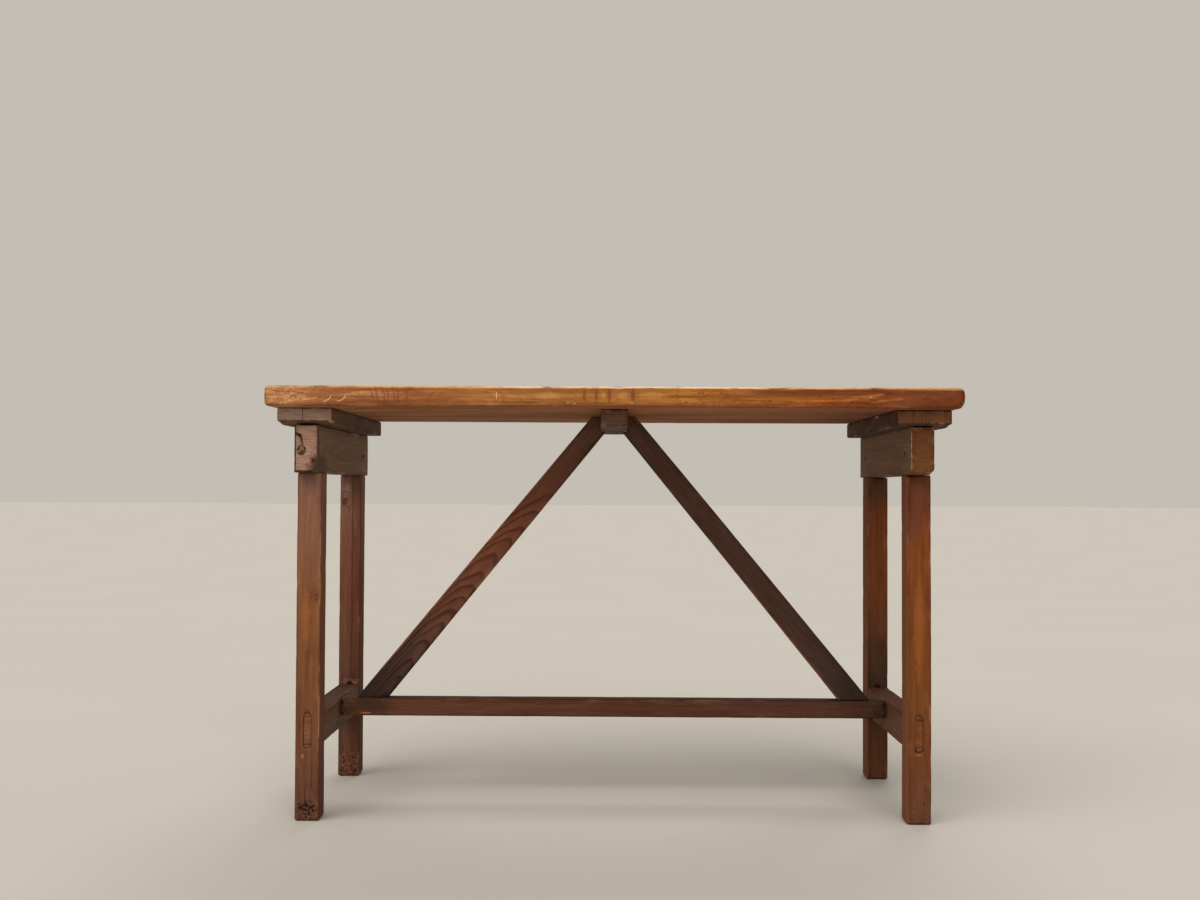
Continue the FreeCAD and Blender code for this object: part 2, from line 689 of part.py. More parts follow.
# Nothing is written unless every object and every shape is sound
for item in doc.Objects:
    if "Invalid" in item.State or "Error" in item.State:
        raise RuntimeError(f"{item.Label} failed: {item.State}")
for node in nodes:
    if node.Shape.isNull() or not node.Shape.isValid():
        raise RuntimeError(f"{node.Label} has no valid shape")
os.makedirs("parts", exist_ok=True)
for node in nodes:
    node.Shape.exportStep(f"parts/{node.Label}.step")
    print(f"{node.Label}: {len(node.Shape.Solids)} solids, {node.Shape.Volume / 1000:.1f} cm3")
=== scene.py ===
"""Looks of the trestle table: old, waxed, worn timber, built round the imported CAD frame."""
import itertools
import math

import bmesh
import bpy
import numpy as np
from mathutils import Matrix, Vector

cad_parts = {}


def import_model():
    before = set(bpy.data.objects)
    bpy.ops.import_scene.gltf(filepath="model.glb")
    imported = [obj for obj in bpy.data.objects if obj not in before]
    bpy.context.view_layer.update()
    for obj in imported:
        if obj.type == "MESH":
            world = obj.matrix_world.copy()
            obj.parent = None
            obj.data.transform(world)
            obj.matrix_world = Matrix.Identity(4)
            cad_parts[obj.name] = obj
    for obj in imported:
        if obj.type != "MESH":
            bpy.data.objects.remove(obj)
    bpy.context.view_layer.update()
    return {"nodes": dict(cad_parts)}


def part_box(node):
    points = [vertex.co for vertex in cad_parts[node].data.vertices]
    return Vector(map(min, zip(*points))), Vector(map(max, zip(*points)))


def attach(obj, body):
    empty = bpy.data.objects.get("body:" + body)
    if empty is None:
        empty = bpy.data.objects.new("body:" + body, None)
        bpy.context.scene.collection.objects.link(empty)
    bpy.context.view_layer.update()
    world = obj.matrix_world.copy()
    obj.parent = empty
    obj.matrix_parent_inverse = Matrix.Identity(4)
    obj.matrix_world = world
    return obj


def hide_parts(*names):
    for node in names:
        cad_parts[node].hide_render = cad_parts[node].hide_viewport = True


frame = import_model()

# Places taken from the frame, in metres

TOP_FRONT, TOP_MIDDLE, TOP_REAR = [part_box(f"top_board_{row}") for row in ("front", "middle", "rear")]
TOP_UNDERSIDE = TOP_FRONT[0].z
CENTRE_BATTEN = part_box("batten_centre")
BATTEN_UNDERSIDE = CENTRE_BATTEN[0].z
RAIL_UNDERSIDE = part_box("head_rail_left")[0].z
SIDES = {"left": -1, "right": 1}
ENDS = {"front": -1, "rear": 1}

# Wear of the timber, in metres

STEP = 0.009
EDGE_LOOPS = (0, 0.35, 0.7, 1)
PLANE_MARKS = 0.00025
BOW = 0.0005
DENT_DEPTH = 0.0012
CHIP_GROWTH = 1.6

# Shapes of single pieces, in metres; all but the rubbed arris are as in the CAD

BATTEN_BEVEL_RUN = 0.04
BATTEN_BEVEL_RISE = 0.0055
WANE_WIDTH = 0.011
WANE_HEIGHT = 0.032
WANE_LENGTH = 0.06
CORNER_CUT = 0.009
CORNER_CUT_LENGTH = 0.034
RAIL_END_CHAMFER = 0.004
FOOT_CHAMFER = 0.004
RUBBED_REACH = 0.016
RUBBED_FADE = 0.006
BRACE_FOOT_WIDTH = 0.045
BRACE_HEAD_WIDTH = 0.038

# Joints: the through mortises in the legs and the small fastenings

SLOT_WIDTH = 0.014
SLOT_HEIGHT = 0.062
TENON_WIDTHS = {"left": 0.0126, "right": 0.0136}
TENON_SHIFT = {"left": 0.0004, "right": 0}
TENON_HEIGHT = 0.048
TENON_SHORT = 0.0008
SLOT_CUT = 0.06
PEG_HOLE_RADIUS = 0.0047
PEG_SIDES = 20
PEG_CUT = 0.03
WORN_BEVEL = 0.0008
NAIL_PROUD = 0.0005
NAIL_RECESS = 0.0046
NAIL_RECESS_DEPTH = 0.055
FOOT_NAIL = (0.446, 0.2165)
HEAD_NAIL = (0.0325, 0.6825)

# Camera, fitted to the photograph, in metres and degrees

CAMERA_PLACE = (-0.0011, -2.8117, 0.5738)
CAMERA_PITCH = 1.578
CAMERA_YAW = 0.507
CAMERA_ROLL = 0.264
CAMERA_LENS = 45
SENSOR_WIDTH = 36
CLIP_END = 200


# Mesh helpers

def unit(values):
    """Each value, or 0 or 1 where it lies past them."""
    return np.clip(values, 0, 1)


def smooth_noise(points, size, seed):
    """Smooth noise from -1 to 1 at the points; size is how far apart its features lie, in metres."""
    spot = points / np.asarray(size)
    cell = np.floor(spot).astype(np.int64)
    part = spot - cell
    part = part * part * (3 - 2 * part)
    total = np.zeros(len(points))
    for corner in itertools.product((0, 1), repeat=3):
        key = (cell + corner) @ np.array((73856093, 19349663, 83492791)) + seed * 2654435
        key = (key ^ (key >> 13)) * 1274126177
        value = ((key ^ (key >> 16)) & 0xFFFF) / 32767.5 - 1
        weight = np.prod(np.where(corner, part, 1 - part), axis=1)
        total += weight * value
    return total


def divisions(half, edge, extra):
    """Places from -half to half: close together beside both edges, evenly spaced between."""
    loops = [half - edge * loop for loop in EDGE_LOOPS]
    count = max(2, round(2 * loops[-1] / STEP) + 1)
    places = list(np.linspace(-loops[-1], loops[-1], count))
    for place in loops[:-1]:
        places += [-place, place]
    places += list(extra)
    return np.unique(np.round(places, 6))


def box_lattice(rows):
    """Points and quads of a box whose faces are divided at the given places along each axis."""
    index = {}
    points = []
    quads = []
    last = [len(row) - 1 for row in rows]

    def corner(place):
        if place not in index:
            index[place] = len(points)
            points.append([row[n] for row, n in zip(rows, place)])
        return index[place]

    for axis in range(3):
        a = (axis + 1) % 3
        b = (axis + 2) % 3
        for side in (0, last[axis]):
            for p, q in itertools.product(range(last[a]), range(last[b])):
                ring = []
                for dp, dq in ((0, 0), (1, 0), (1, 1), (0, 1)):
                    place = [side] * 3
                    place[a] = p + dp
                    place[b] = q + dq
                    ring.append(corner(tuple(place)))
                quads.append(ring if side else ring[::-1])
    return np.array(points), quads


def round_edges(points, half, radius):
    """Rounds the box's edges. The radius may differ from point to point and from axis to axis."""
    core = np.clip(points, radius - half, half - radius)
    out = (points - core) / radius
    length = np.linalg.norm(out, axis=1, keepdims=True)
    return core + radius * out / np.maximum(length, 1e-9)


def edge_distance(points, half):
    """How far each point of the box's surface lies from the nearest edge."""
    return np.sort(half - np.abs(points), axis=1)[:, 1]


def press(points, half, hollows):
    """Pushes the surface inwards in round hollows, each a centre, its radii and a depth vector."""
    for centre, radii, depth in hollows:
        away = np.linalg.norm((points - np.array(centre) * half) / np.array(radii), axis=1)
        ragged = 1 + 0.25 * smooth_noise(points, 0.006, 7)
        share = unit(1 - (away * ragged) ** 2)
        points += share[:, None] * np.array(depth)
    return points


def around(half, axis, hollows):
    """Extra divisions round each hollow, so that its shape shows."""
    places = []
    for centre, radii, _ in hollows:
        for step in (-1, -0.6, -0.2, 0.2, 0.6, 1):
            place = centre[axis] * half[axis] + step * radii[axis]
            if abs(place) < half[axis]:
                places.append(place)
    return places


def add_object(name, data):
    thing = bpy.data.objects.new(name, data)
    bpy.context.collection.objects.link(thing)
    return thing


def timber(name, size, edge, seed, shape=None, extra=((), (), ()), worn=1, rounding=None,
           hollows=()):
    """A worn stick of wood centred on its own origin, with its grain along local X."""
    half = np.array(size) / 2
    rows = []
    for axis in range(3):
        more = [*extra[axis], *around(half, axis, hollows)]
        rows.append(divisions(half[axis], 2 * edge, more))
    points, quads = box_lattice(rows)

    # The edges are rounded more where knocks have chipped them
    chips = smooth_noise(points, (0.035, 0.02, 0.02), seed) + 0.5 * smooth_noise(points, 0.011, seed + 1)
    radius = edge * (1 + CHIP_GROWTH * worn * unit(chips - 0.35))[:, None] * np.ones(3)
    if rounding:
        radius = rounding(points, half, radius)
    distance = edge_distance(points, half)
    points = round_edges(points, half, np.minimum(radius, 0.9 * half))
    points = press(points, half, hollows)
    if shape:
        points = shape(points, half)

    # Hand planing leaves long hollows, and use leaves dents
    for axis in (1, 2):
        points[:, axis] += PLANE_MARKS * smooth_noise(points, (0.16, 0.03, 0.03), seed + 10 + axis)
        points[:, axis] += BOW * smooth_noise(points * (1, 0, 0), 0.4, seed + 30 + axis)
    dents = unit(smooth_noise(points, (0.03, 0.018, 0.018), seed + 20) - 0.62)
    inward = points / half
    inward[:, 0] = 0
    points -= DENT_DEPTH * worn * dents[:, None] * inward

    mesh = bpy.data.meshes.new(name)
    mesh.from_pydata(points.tolist(), [], quads)
    wear = np.exp(-distance / 0.003)
    mesh.attributes.new("wear", "FLOAT", "POINT").data.foreach_set("value", wear)
    mesh.polygons.foreach_set("use_smooth", [True] * len(mesh.polygons))
    return add_object(name, mesh)


def stand(piece, centre, grain, width):
    """Puts the piece at centre, with local X along grain and local Y along width."""
    grain = Vector(grain).normalized()
    width = Vector(width).normalized()
    turn = Matrix((grain, width, grain.cross(width))).transposed()
    piece.matrix_world = Matrix.Translation(centre) @ turn.to_4x4()
    return piece


def belong(piece, slot, *nodes):
    """The piece rides on the table and stands for these CAD nodes, which are hidden; slot is not used."""
    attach(piece, "root")
    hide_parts(*nodes)


def middle(box):
    return (box[0] + box[1]) / 2


def solid(name, outline, depth):
    """A prism: a flat outline in the XZ plane, swept along Y by depth to both sides."""
    mesh = bpy.data.meshes.new(name)
    count = len(outline)
    points = [(x, side * depth, z) for side in (-1, 1) for x, z in outline]
    faces = [list(range(count)), list(range(2 * count - 1, count - 1, -1))]
    for n in range(count):
        following = (n + 1) % count
        faces.append([following, n, n + count, following + count])
    mesh.from_pydata(points, [], faces)
    return add_object(name, mesh)


def carve(piece, *cutters):
    """Takes the cutters out of the piece and deletes them."""
    for cutter in cutters:
        cut = piece.modifiers.new("cut", "BOOLEAN")
        cut.object = cutter
        cut.solver = "EXACT"
    bpy.context.view_layer.update()
    shaped = bpy.data.meshes.new_from_object(piece.evaluated_get(bpy.context.evaluated_depsgraph_get()))
    piece.modifiers.clear()
    old = piece.data
    name = old.name
    piece.data = shaped
    bpy.data.meshes.remove(old)
    shaped.name = name
    for cutter in cutters:
        bpy.data.meshes.remove(cutter.data)


def worn_copy(name, node, scale, shift):
    """A copy of a CAD node whose separate solids are each scaled about their middle, moved and bevelled."""
    work = bmesh.new()
    work.from_mesh(frame["nodes"][node].data)
    bmesh.ops.remove_doubles(work, verts=work.verts, dist=1e-6)
    left = set(work.verts)
    while left:
        solid_points = [left.pop()]
        for point in solid_points:
            for edge in point.link_edges:
                other = edge.other_vert(point)
                if other in left:
                    left.remove(other)
                    solid_points.append(other)
        low = Vector(min(point.co[axis] for point in solid_points) for axis in range(3))
        high = Vector(max(point.co[axis] for point in solid_points) for axis in range(3))
        centre = (low + high) / 2
        for point in solid_points:
            point.co = centre + (point.co - centre) * Vector(scale) + Vector(shift)
    bmesh.ops.dissolve_limit(work, angle_limit=math.radians(2), verts=work.verts, edges=work.edges)
    mesh = bpy.data.meshes.new(name)
    work.to_mesh(mesh)
    work.free()
    piece = add_object(name, mesh)
    rounding = piece.modifiers.new("rounding", "BEVEL")
    rounding.width = WORN_BEVEL
    rounding.segments = 2
    return piece


# Shader helpers

def srgb(red, green, blue):
    """A colour as it shows on screen, from 0 to 255, as the linear values that shaders take."""
    def linear(value):
        value = value / 255
        return value / 12.92 if value <= 0.04045 else ((value + 0.055) / 1.055) ** 2.4
    return (linear(red), linear(green), linear(blue), 1)


class Graph:
    """Adds shader nodes to a new material, so that a recipe reads from top to bottom."""

    def __init__(self, name):
        self.material = bpy.data.materials.new(name)
        self.material.use_nodes = True
        self.tree = self.material.node_tree
        self.shader = self.tree.nodes["Principled BSDF"]
        self.place = self.node("TexCoord", {}, "Object")
        self.colour = None
        self.height = None

    def feed(self, socket, value):
        if isinstance(value, bpy.types.NodeSocket):
            self.tree.links.new(value, socket)
        else:
            socket.default_value = value

    def node(self, kind, inputs, output=0, **settings):
        node = self.tree.nodes.new("ShaderNode" + kind)
        for key, value in settings.items():
            setattr(node, key, value)
        for key, value in inputs.items():
            self.feed(node.inputs[key], value)
        return node.outputs[output]

    def math(self, operation, *values):
        return self.node("Math", dict(enumerate(values)), operation=operation)

    def times(self, *values):
        return self.math("MULTIPLY", *values)

    def vector(self, operation, *values):
        return self.node("VectorMath", dict(enumerate(values)), operation=operation)

    def length(self, vector):
        return self.node("VectorMath", {0: vector}, 1, operation="LENGTH")

    def dot(self, vector, other):
        return self.node("VectorMath", {0: vector, 1: other}, 1, operation="DOT_PRODUCT")

    def mix(self, factor, low, high, blend="MIX"):
        return self.node("Mix", {0: factor, 6: low, 7: high}, 2, data_type="RGBA", blend_type=blend)

    def between(self, value, start, end, low=0, high=1):
        """low below start, high above end, and a smooth step between."""
        return self.node("MapRange", {0: value, 1: start, 2: end, 3: low, 4: high},
                         interpolation_type="SMOOTHSTEP")

    def ramp(self, factor, *stops):
        node = self.tree.nodes.new("ShaderNodeValToRGB")
        while len(node.color_ramp.elements) < len(stops):
            node.color_ramp.elements.new(1)
        for element, (place, colour) in zip(node.color_ramp.elements, stops):
            element.position = place
            element.color = colour
        self.feed(node.inputs[0], factor)
        return node.outputs[0]

    def tones(self, factor, stops):
        """A ramp of screen colours; each stop is a place from 0 to 1 and a red, a green and a blue."""
        return self.ramp(factor, *[(place, srgb(*colour)) for place, *colour in stops])

    def noise(self, place, stretch, detail=2, rough=0.5, warp=0, output=0):
        """Noise from 0 to 1 with about that many features in a metre, along each axis or along all."""
        spot = self.vector("MULTIPLY", place, stretch if isinstance(stretch, tuple) else (stretch,) * 3)
        return self.node("TexNoise", {"Vector": spot, "Scale": 1, "Detail": detail,
                                      "Roughness": rough, "Distortion": warp}, output)

    def parts(self, vector):
        node = self.tree.nodes.new("ShaderNodeSeparateXYZ")
        self.feed(node.inputs[0], vector)
        return node.outputs

    def oval(self, centre, size):
        """The way from an oval's centre, in units of its radii; both are given in millimetres."""
        away = self.vector("SUBTRACT", self.place, Vector(centre) * MM)
        return self.vector("DIVIDE", away, Vector(size) * MM)

    def paint(self, factor, colour):
        """Lays a screen colour over what is there."""
        self.colour = self.mix(factor, self.colour, srgb(*colour))

    def shade(self, factor, tint):
        """Multiplies what is there by a tint."""
        self.colour = self.mix(factor, self.colour, (*tint, 1), "MULTIPLY")

    def raise_by(self, value, amount):
        """Adds to the height that makes the bumps."""
        step = self.times(value, amount)
        self.height = step if self.height is None else self.math("ADD", self.height, step)

    def finish(self, roughness, **constants):
        inputs = self.shader.inputs
        self.feed(inputs["Base Color"], self.colour)
        self.feed(inputs["Roughness"], roughness)
        bump = {"Strength": BUMP_STRENGTH, "Distance": BUMP_DEPTH, "Height": self.height}
        self.feed(inputs["Normal"], self.node("Bump", bump))
        for key, value in constants.items():
            inputs[key].default_value = value
        return self.material


# Wood

MM = 0.001
BUMP_DEPTH = 0.0008
BUMP_STRENGTH = 0.4
BLACK = (0, 0, 0, 1)
GREY = (0.22, 0.22, 0.22, 1)
WHITE = (1, 1, 1, 1)
RING_TINT = (0.5, 0.36, 0.28)
FIBRE_TINT = (0.62, 0.52, 0.46)
PORE_TINT = (0.4, 0.3, 0.25)
GRIME_TINT = (0.3, 0.24, 0.21)
END_TINT = (0.95, 0.9, 0.86)
WAX = {"Specular IOR Level": 0.14}
BARE_ROUGHNESS = 0.9
DARK_WOOD_AND_SHADE = (46, 28, 20)
BLACK_GAP = (24, 16, 12)
KNOT_HEART = (92, 54, 34)
WORM_HOLE = (26, 16, 12)
PALE_WOOD = (196, 150, 108)


def growth_rings(g, spot, pith, slant, spacing, swirl):
    """Rises from 0 to 1 across each growth ring. The pith passes a point of the piece, and slants
    across the grain by so many metres in each metre along it, which bends the rings into arches."""
    centred = (0.5, 0.5, 0.5)
    wander = g.vector("SUBTRACT", g.noise(spot, (3, 0, 0), 1, output=1), centred)
    bend = g.vector("SUBTRACT", g.noise(spot, (8, 24, 24), 2, output=1), centred)
    along = g.vector("MULTIPLY", g.node("CombineXYZ", dict.fromkeys(range(3), g.parts(g.place)[0])), slant)
    away = g.vector("SUBTRACT", g.vector("SUBTRACT", g.place, pith), along)
    away = g.vector("ADD", away, g.vector("MULTIPLY", wander, (0, 2 * swirl, 2 * swirl)))
    away = g.vector("ADD", away, g.vector("MULTIPLY", bend, (0, swirl, swirl)))
    away = g.vector("MULTIPLY", away, (0, 1, 1))
    rings = g.math("DIVIDE", g.length(away), spacing)
    uneven = g.node("TexNoise", {"W": rings, "Scale": 0.45, "Detail": 1}, noise_dimensions="1D")
    return g.math("FRACT", g.math("MULTIPLY_ADD", uneven, 1.3, rings))


def wood(name, tones, half, seed, figure=0.35, spacing=0.006, swirl=0.016, pith=(0, 0.02, -0.07),
         slant=(0, 0.02, 0.05), ring_end=None, streaks=0.4, broad=0.25, gleam=None, grime=0.4,
         cloud=(104, 70, 56), clouds=0.4, gloss=0.5, polish=0, end_tone=None,
         saw=(40, 40, 600), dirt=0.75, chips=0.35, bare=None, marks=()):
    """Waxed old wood. tones are colours along the grain from one end to the other, half is half its length.
    The rings fade out round ring_end, gleam tints pale fibres, end_tone colours the end grain, and bare is a
    direction whose faces get a tint and a rough finish: faces never waxed, and the tops of the cross rails
    and stretcher, painted darker as shade."""
    g = Graph(name)
    spot = g.vector("ADD", g.place, Vector((1.37, 0.61, 0.29)) * seed)
    ring = growth_rings(g, spot, pith, slant, spacing, swirl)
    late = g.ramp(ring, (0, BLACK), (0.6, GREY), (0.88, WHITE), (1, BLACK))
    fibre = g.noise(spot, (14, 850, 850), 3, 0.6)
    streak = g.noise(spot, (3, 110, 110), 5, 0.66)
    plank = g.noise(spot, (4, 42, 42), 4, 0.6, 0.8)
    haze = g.noise(spot, (6, 18, 18), 4, 0.6, 0.4)
    blotch = g.noise(spot, (14, 70, 70), 4, 0.65)
    pore = g.between(g.noise(spot, (70, 1100, 1100), 1), 0.66, 0.74)

    # Colour along the stick, then what the grain and the years do to it
    drift = g.math("MULTIPLY_ADD", haze, 0.5 * half, g.math("ADD", g.parts(g.place)[0], -0.25 * half))
    g.colour = g.tones(g.node("MapRange", {0: drift, 1: -half, 2: half}), tones)
    if ring_end is not None:
        fading = g.between(g.parts(g.place)[0], ring_end - 0.06, ring_end + 0.06, 1, 0)
        late = g.times(late, fading)
    g.shade(g.times(late, figure), RING_TINT)
    g.shade(g.between(plank, 0.4, 0.6, broad, 0), FIBRE_TINT)
    g.shade(g.between(streak, 0.44, 0.6, 0, streaks), FIBRE_TINT)
    if gleam:
        pale = g.noise(spot, (9, 150, 150), 4, 0.62, 0.3)
        g.shade(g.between(pale, 0.52, 0.66), gleam)
    g.shade(g.between(fibre, 0.3, 0.7, 0.35, 0), FIBRE_TINT)
    g.paint(g.between(haze, 0.46, 0.72, 0, clouds), cloud)
    g.shade(g.times(pore, 0.5), PORE_TINT)
    g.shade(g.between(blotch, 0.56, 0.74, 0, grime), GRIME_TINT)
    g.raise_by(fibre, 0.45)
    g.raise_by(late, 0.2)
    g.raise_by(pore, -0.5)
    g.raise_by(blotch, 0.5)

    # End grain has its own tone and keeps the saw's lines
    facing = g.node("TexCoord", {}, "Normal")
    end = g.between(g.math("ABSOLUTE", g.parts(facing)[0]), 0.75, 0.95)
    line = g.times(g.noise(spot, saw, 2, 0.6), end)
    if end_tone:
        g.paint(g.times(end, 0.85), end_tone)
    else:
        g.shade(end, END_TINT)
    g.shade(g.between(line, 0.42, 0.7, 0, 0.5), GRIME_TINT)
    g.raise_by(line, 0.9)

    # Edges gather dirt, and knocks leave them pale
    wear = g.node("Attribute", {}, "Fac", attribute_name="wear")
    g.shade(g.times(wear, g.between(blotch, 0.36, 0.52, 0, dirt)), GRIME_TINT)
    g.paint(g.times(wear, g.between(blotch, 0.46, 0.34, 0, chips)), PALE_WOOD)
    for lay_on in marks:
        lay_on(g)

    # What hands and cloths have rubbed is smooth; what was never waxed, and the tops painted darker as
    # shade, is tinted and rough
    rough = g.between(blotch, 0.3, 0.7, gloss - 0.07, gloss + 0.13)
    rough = g.math("MULTIPLY_ADD", wear, -polish, rough)
    if bare:
        direction, tint = bare
        unwaxed_or_shaded = g.between(g.dot(facing, direction), 0.5, 0.8)
        g.shade(unwaxed_or_shaded, tint)
        rough = g.math("MAXIMUM", rough, g.times(unwaxed_or_shaded, BARE_ROUGHNESS))
    return g.finish(rough, **WAX)


def clad(piece, *look, **settings):
    """Gives the piece a wood of its own."""
    piece.data.materials.append(wood(*look, **settings))


# Marks on the wood, with places, sizes and widths in millimetres of the piece's own frame

def in_mm(lengths):
    return [length / MM for length in lengths]


def mark(recipe):
    """Lets a recipe be called without its graph: what comes back waits for the graph of the wood."""
    def make(*values):
        return lambda g: recipe(g, *values)
    return make


@mark
def blot(g, centre, size, colour, strength=0.8, depth=0):
    """An oval patch of another colour with a ragged edge."""
    ragged = g.noise(g.place, 180, 3, 0.6)
    reach = g.math("MULTIPLY_ADD", ragged, 0.9, g.length(g.oval(centre, size)))
    mask = g.between(reach, 0.75, 1.35, strength, 0)
    g.paint(mask, colour)
    g.raise_by(mask, -depth)


def stroke(g, start, end, wobble):
    """How far each point lies from the line from start to end, which wanders a little, and how far along."""
    start = Vector(start) * MM
    run = Vector(end) * MM - start
    shake = g.noise(g.place, 90, output=1)
    shake = g.vector("MULTIPLY", g.vector("SUBTRACT", shake, (0.5, 0.5, 0.5)), (wobble * MM,) * 3)
    away = g.vector("SUBTRACT", g.vector("ADD", g.place, shake), start)
    share = g.node("MapRange", {0: g.dot(away, run), 1: 0, 2: run.length_squared})
    foot = g.node("VectorMath", {0: run, "Scale": share}, operation="SCALE")
    return g.length(g.vector("SUBTRACT", away, foot)), share


@mark
def crack_and_shade_line(g, start, end, width=0.7, wobble=3, colour=DARK_WOOD_AND_SHADE):
    """A thin line of a given colour from start to end that wanders a little: mostly dark splits, also pale
    scratches and, on the left rail's front end, painted shade along two edges.
    """
    away = stroke(g, start, end, wobble)[0]
    mask = g.between(away, 0.35 * width * MM, width * MM, 0.9, 0)
    g.paint(mask, colour)
    g.raise_by(mask, -1.5)


@mark
def soft_streak(g, start, end, width, colour, strength=0.7):
    """A soft, broken streak of another colour from start to end, fainter towards its ends."""
    broken = g.between(g.noise(g.place, (25, 120, 120), 4, 0.6), 0.32, 0.52)
    away, share = stroke(g, start, end, 2)
    line = g.between(away, 0.25 * width * MM, width * MM, strength, 0)
    fading = g.between(g.math("PINGPONG", share, 0.5), 0, 0.2)
    g.paint(g.times(g.times(line, broken), fading), colour)


@mark
def band(g, axis, start, end, tint):
    """Darkens the side of the piece that lies past start, fully past end, along one of its axes."""
    shake = g.noise(g.place, (6, 60, 60), 3)
    place = g.math("MULTIPLY_ADD", shake, 0.003, g.parts(g.place)[axis])
    g.shade(g.between(place, start * MM, end * MM), tint)


@mark
def mottle(g, centre, size, colour, per_metre, strength, depth=0):
    """Ragged patches of another colour in an oval zone."""
    patch = g.between(g.noise(g.place, per_metre, 3, 0.6), 0.5, 0.6)
    zone = g.between(g.length(g.oval(centre, size)), 0.6, 1, strength, 0)
    mask = g.times(patch, zone)
    g.paint(mask, colour)
    g.raise_by(mask, -depth)


@mark
def arc(g, centre, radius, width, zone, zone_size, colour, strength):
    """Part of a ring of another colour: only what lies in the oval zone shows."""
    wide = width * MM
    shake = g.math("MULTIPLY_ADD", g.noise(g.place, 70, 3), 5 * wide, -2.5 * wide)
    away = g.math("ADD", g.length(g.vector("SUBTRACT", g.place, Vector(centre) * MM)), shake)
    off = g.math("ABSOLUTE", g.math("SUBTRACT", away, radius * MM))
    line = g.between(off, 0.3 * wide, wide, strength, 0)
    inside = g.math("ADD", g.length(g.oval(zone, zone_size)), g.noise(g.place, 300))
    g.paint(g.times(line, g.between(inside, 1, 1.6, 1, 0)), colour)


@mark
def knot(g, centre, size):
    """A knot: a broken dark rim round a brown heart with dark patches and checks."""
    away = g.oval(centre, size)
    ragged = g.noise(away, 2.2)
    reach = g.math("MULTIPLY_ADD", ragged, 0.7, g.length(away))
    inside = g.between(reach, 1.1, 1.35, 1, 0)
    patch = g.between(g.noise(away, 1.7, 3, 0.6, 0.6), 0.47, 0.57, 0, 0.95)
    edge = g.between(g.math("ABSOLUTE", g.math("SUBTRACT", reach, 1.15)), 0.06, 0.24, 0.9, 0)
    edge = g.times(edge, g.between(ragged, 0.4, 0.55, 0.5, 1))
    g.paint(g.times(inside, 0.5), KNOT_HEART)
    g.paint(g.times(inside, patch), DARK_WOOD_AND_SHADE)
    g.paint(edge, DARK_WOOD_AND_SHADE)
    g.raise_by(edge, -1.2)


@mark
def worm_holes(g, centre, size, per_metre, share):
    """Dark flight holes in an oval zone, more of them towards its middle."""
    zone = g.between(g.length(g.oval(centre, size)), 0.5, 1, 1, 0)
    cell = g.tree.nodes.new("ShaderNodeTexVoronoi")
    g.feed(cell.inputs["Vector"], g.place)
    cell.inputs["Scale"].default_value = per_metre
    chosen = g.between(g.parts(cell.outputs["Color"])[0], share, share + 0.02, 1, 0)
    hole = g.between(cell.outputs["Distance"], 0.16, 0.26, 1, 0)
    mask = g.times(g.times(hole, chosen), zone)
    g.paint(mask, WORM_HOLE)
    g.raise_by(mask, -3)


def iron(name):
    """Rusty forged iron."""
    g = Graph(name)
    rust = g.noise(g.place, 260, 4, 0.65)
    pits = g.noise(g.place, 900)
    g.colour = g.tones(rust, ((0.3, 36, 31, 30), (0.55, 66, 44, 34), (0.75, 104, 60, 36)))
    g.raise_by(pits, 1)
    return g.finish(g.between(rust, 0.3, 0.7, 0.5, 0.85), Metallic=0.55)


# Top boards

TOP_TONES = {
    "front": ((0, 210, 160, 112), (0.16, 171, 109, 60), (0.45, 182, 125, 59),
              (0.6, 181, 118, 41), (0.8, 157, 85, 20), (1, 113, 49, 8)),
    "middle": ((0, 178, 122, 76), (0.3, 160, 100, 54), (0.7, 168, 106, 52), (1, 128, 68, 30)),
    "rear": ((0, 164, 108, 64), (0.4, 176, 114, 58), (0.75, 152, 88, 40), (1, 118, 60, 26)),
}
EDGE_RED = (120, 58, 32)
PALE_SCRATCH = (228, 176, 124)
PALE_WEAR_AND_HIGHLIGHT = (240, 212, 182)
GOLD = (226, 166, 98)
AMBER = (178, 108, 54)
ARC_BROWN = (140, 84, 46)
STAIN = (88, 50, 30)
GLEAM_TINT = (1.45, 1.5, 1.6)
UNDERSIDE_TINT = (1.08, 1.15, 1.34)

# Depth of the marks on the front edge, and streaks on the underside: place and half length, in millimetres

FRONT_DEPTH = 6
UNDERSIDE_STREAKS = {
    "front": ((-200, -50, 360), (300, 40, 300)),
    "middle": ((100, -40, 450), (-300, 50, 300)),
    "rear": ((-50, 0, 500), (250, 60, 300)),
}

# Wear of the boards' ends, seams and front arris, and the steps of their extra divisions, in metres

RIGHT_WEAR = 0.06
LEFT_WEAR = 0.04
SEAM_WIDTH = 0.02
SEAM_FADE = 0.01
ARRIS_STEP = 0.0015
END_STEP = 0.0025
STEPS = range(1, 8)
WORN_ARRIS = np.array((0.0026, 0.009, 0.0036))


def board_rounding(row, seams):
    """Small edges along the seams, rounder ones at both ends, and a front arris worn down by use."""
    def rounding(points, half, radius):
        chipped = radius[:, :1] / radius.min()
        right = unit((points[:, 0] - half[0] + RIGHT_WEAR) / RIGHT_WEAR)[:, None]
        left = unit((LEFT_WEAR - half[0] - points[:, 0]) / LEFT_WEAR)[:, None]
        below = 1 + 0.5 * (points[:, 2:] < 0)
        radius = radius * (1 + (3 * right * below + 2 * left) * np.array((1, 0.5, 1)))
        for side in seams:
            beside = unit((side * points[:, 1] - half[1] + SEAM_WIDTH) / SEAM_FADE)[:, None]
            inner = unit((half[0] - SEAM_WIDTH - np.abs(points[:, 0])) / SEAM_FADE)[:, None]
            radius = radius * (1 - 0.6 * beside * inner)
        if row == "front":
            zone = unit((points[:, 0] + 0.4) / 0.05) * unit((0.42 - points[:, 0]) / 0.04)
            zone = zone * (points[:, 1] < 0) * (points[:, 2] > 0)
            radius = radius + zone[:, None] * (WORN_ARRIS * chipped - radius)
        return radius
    return rounding


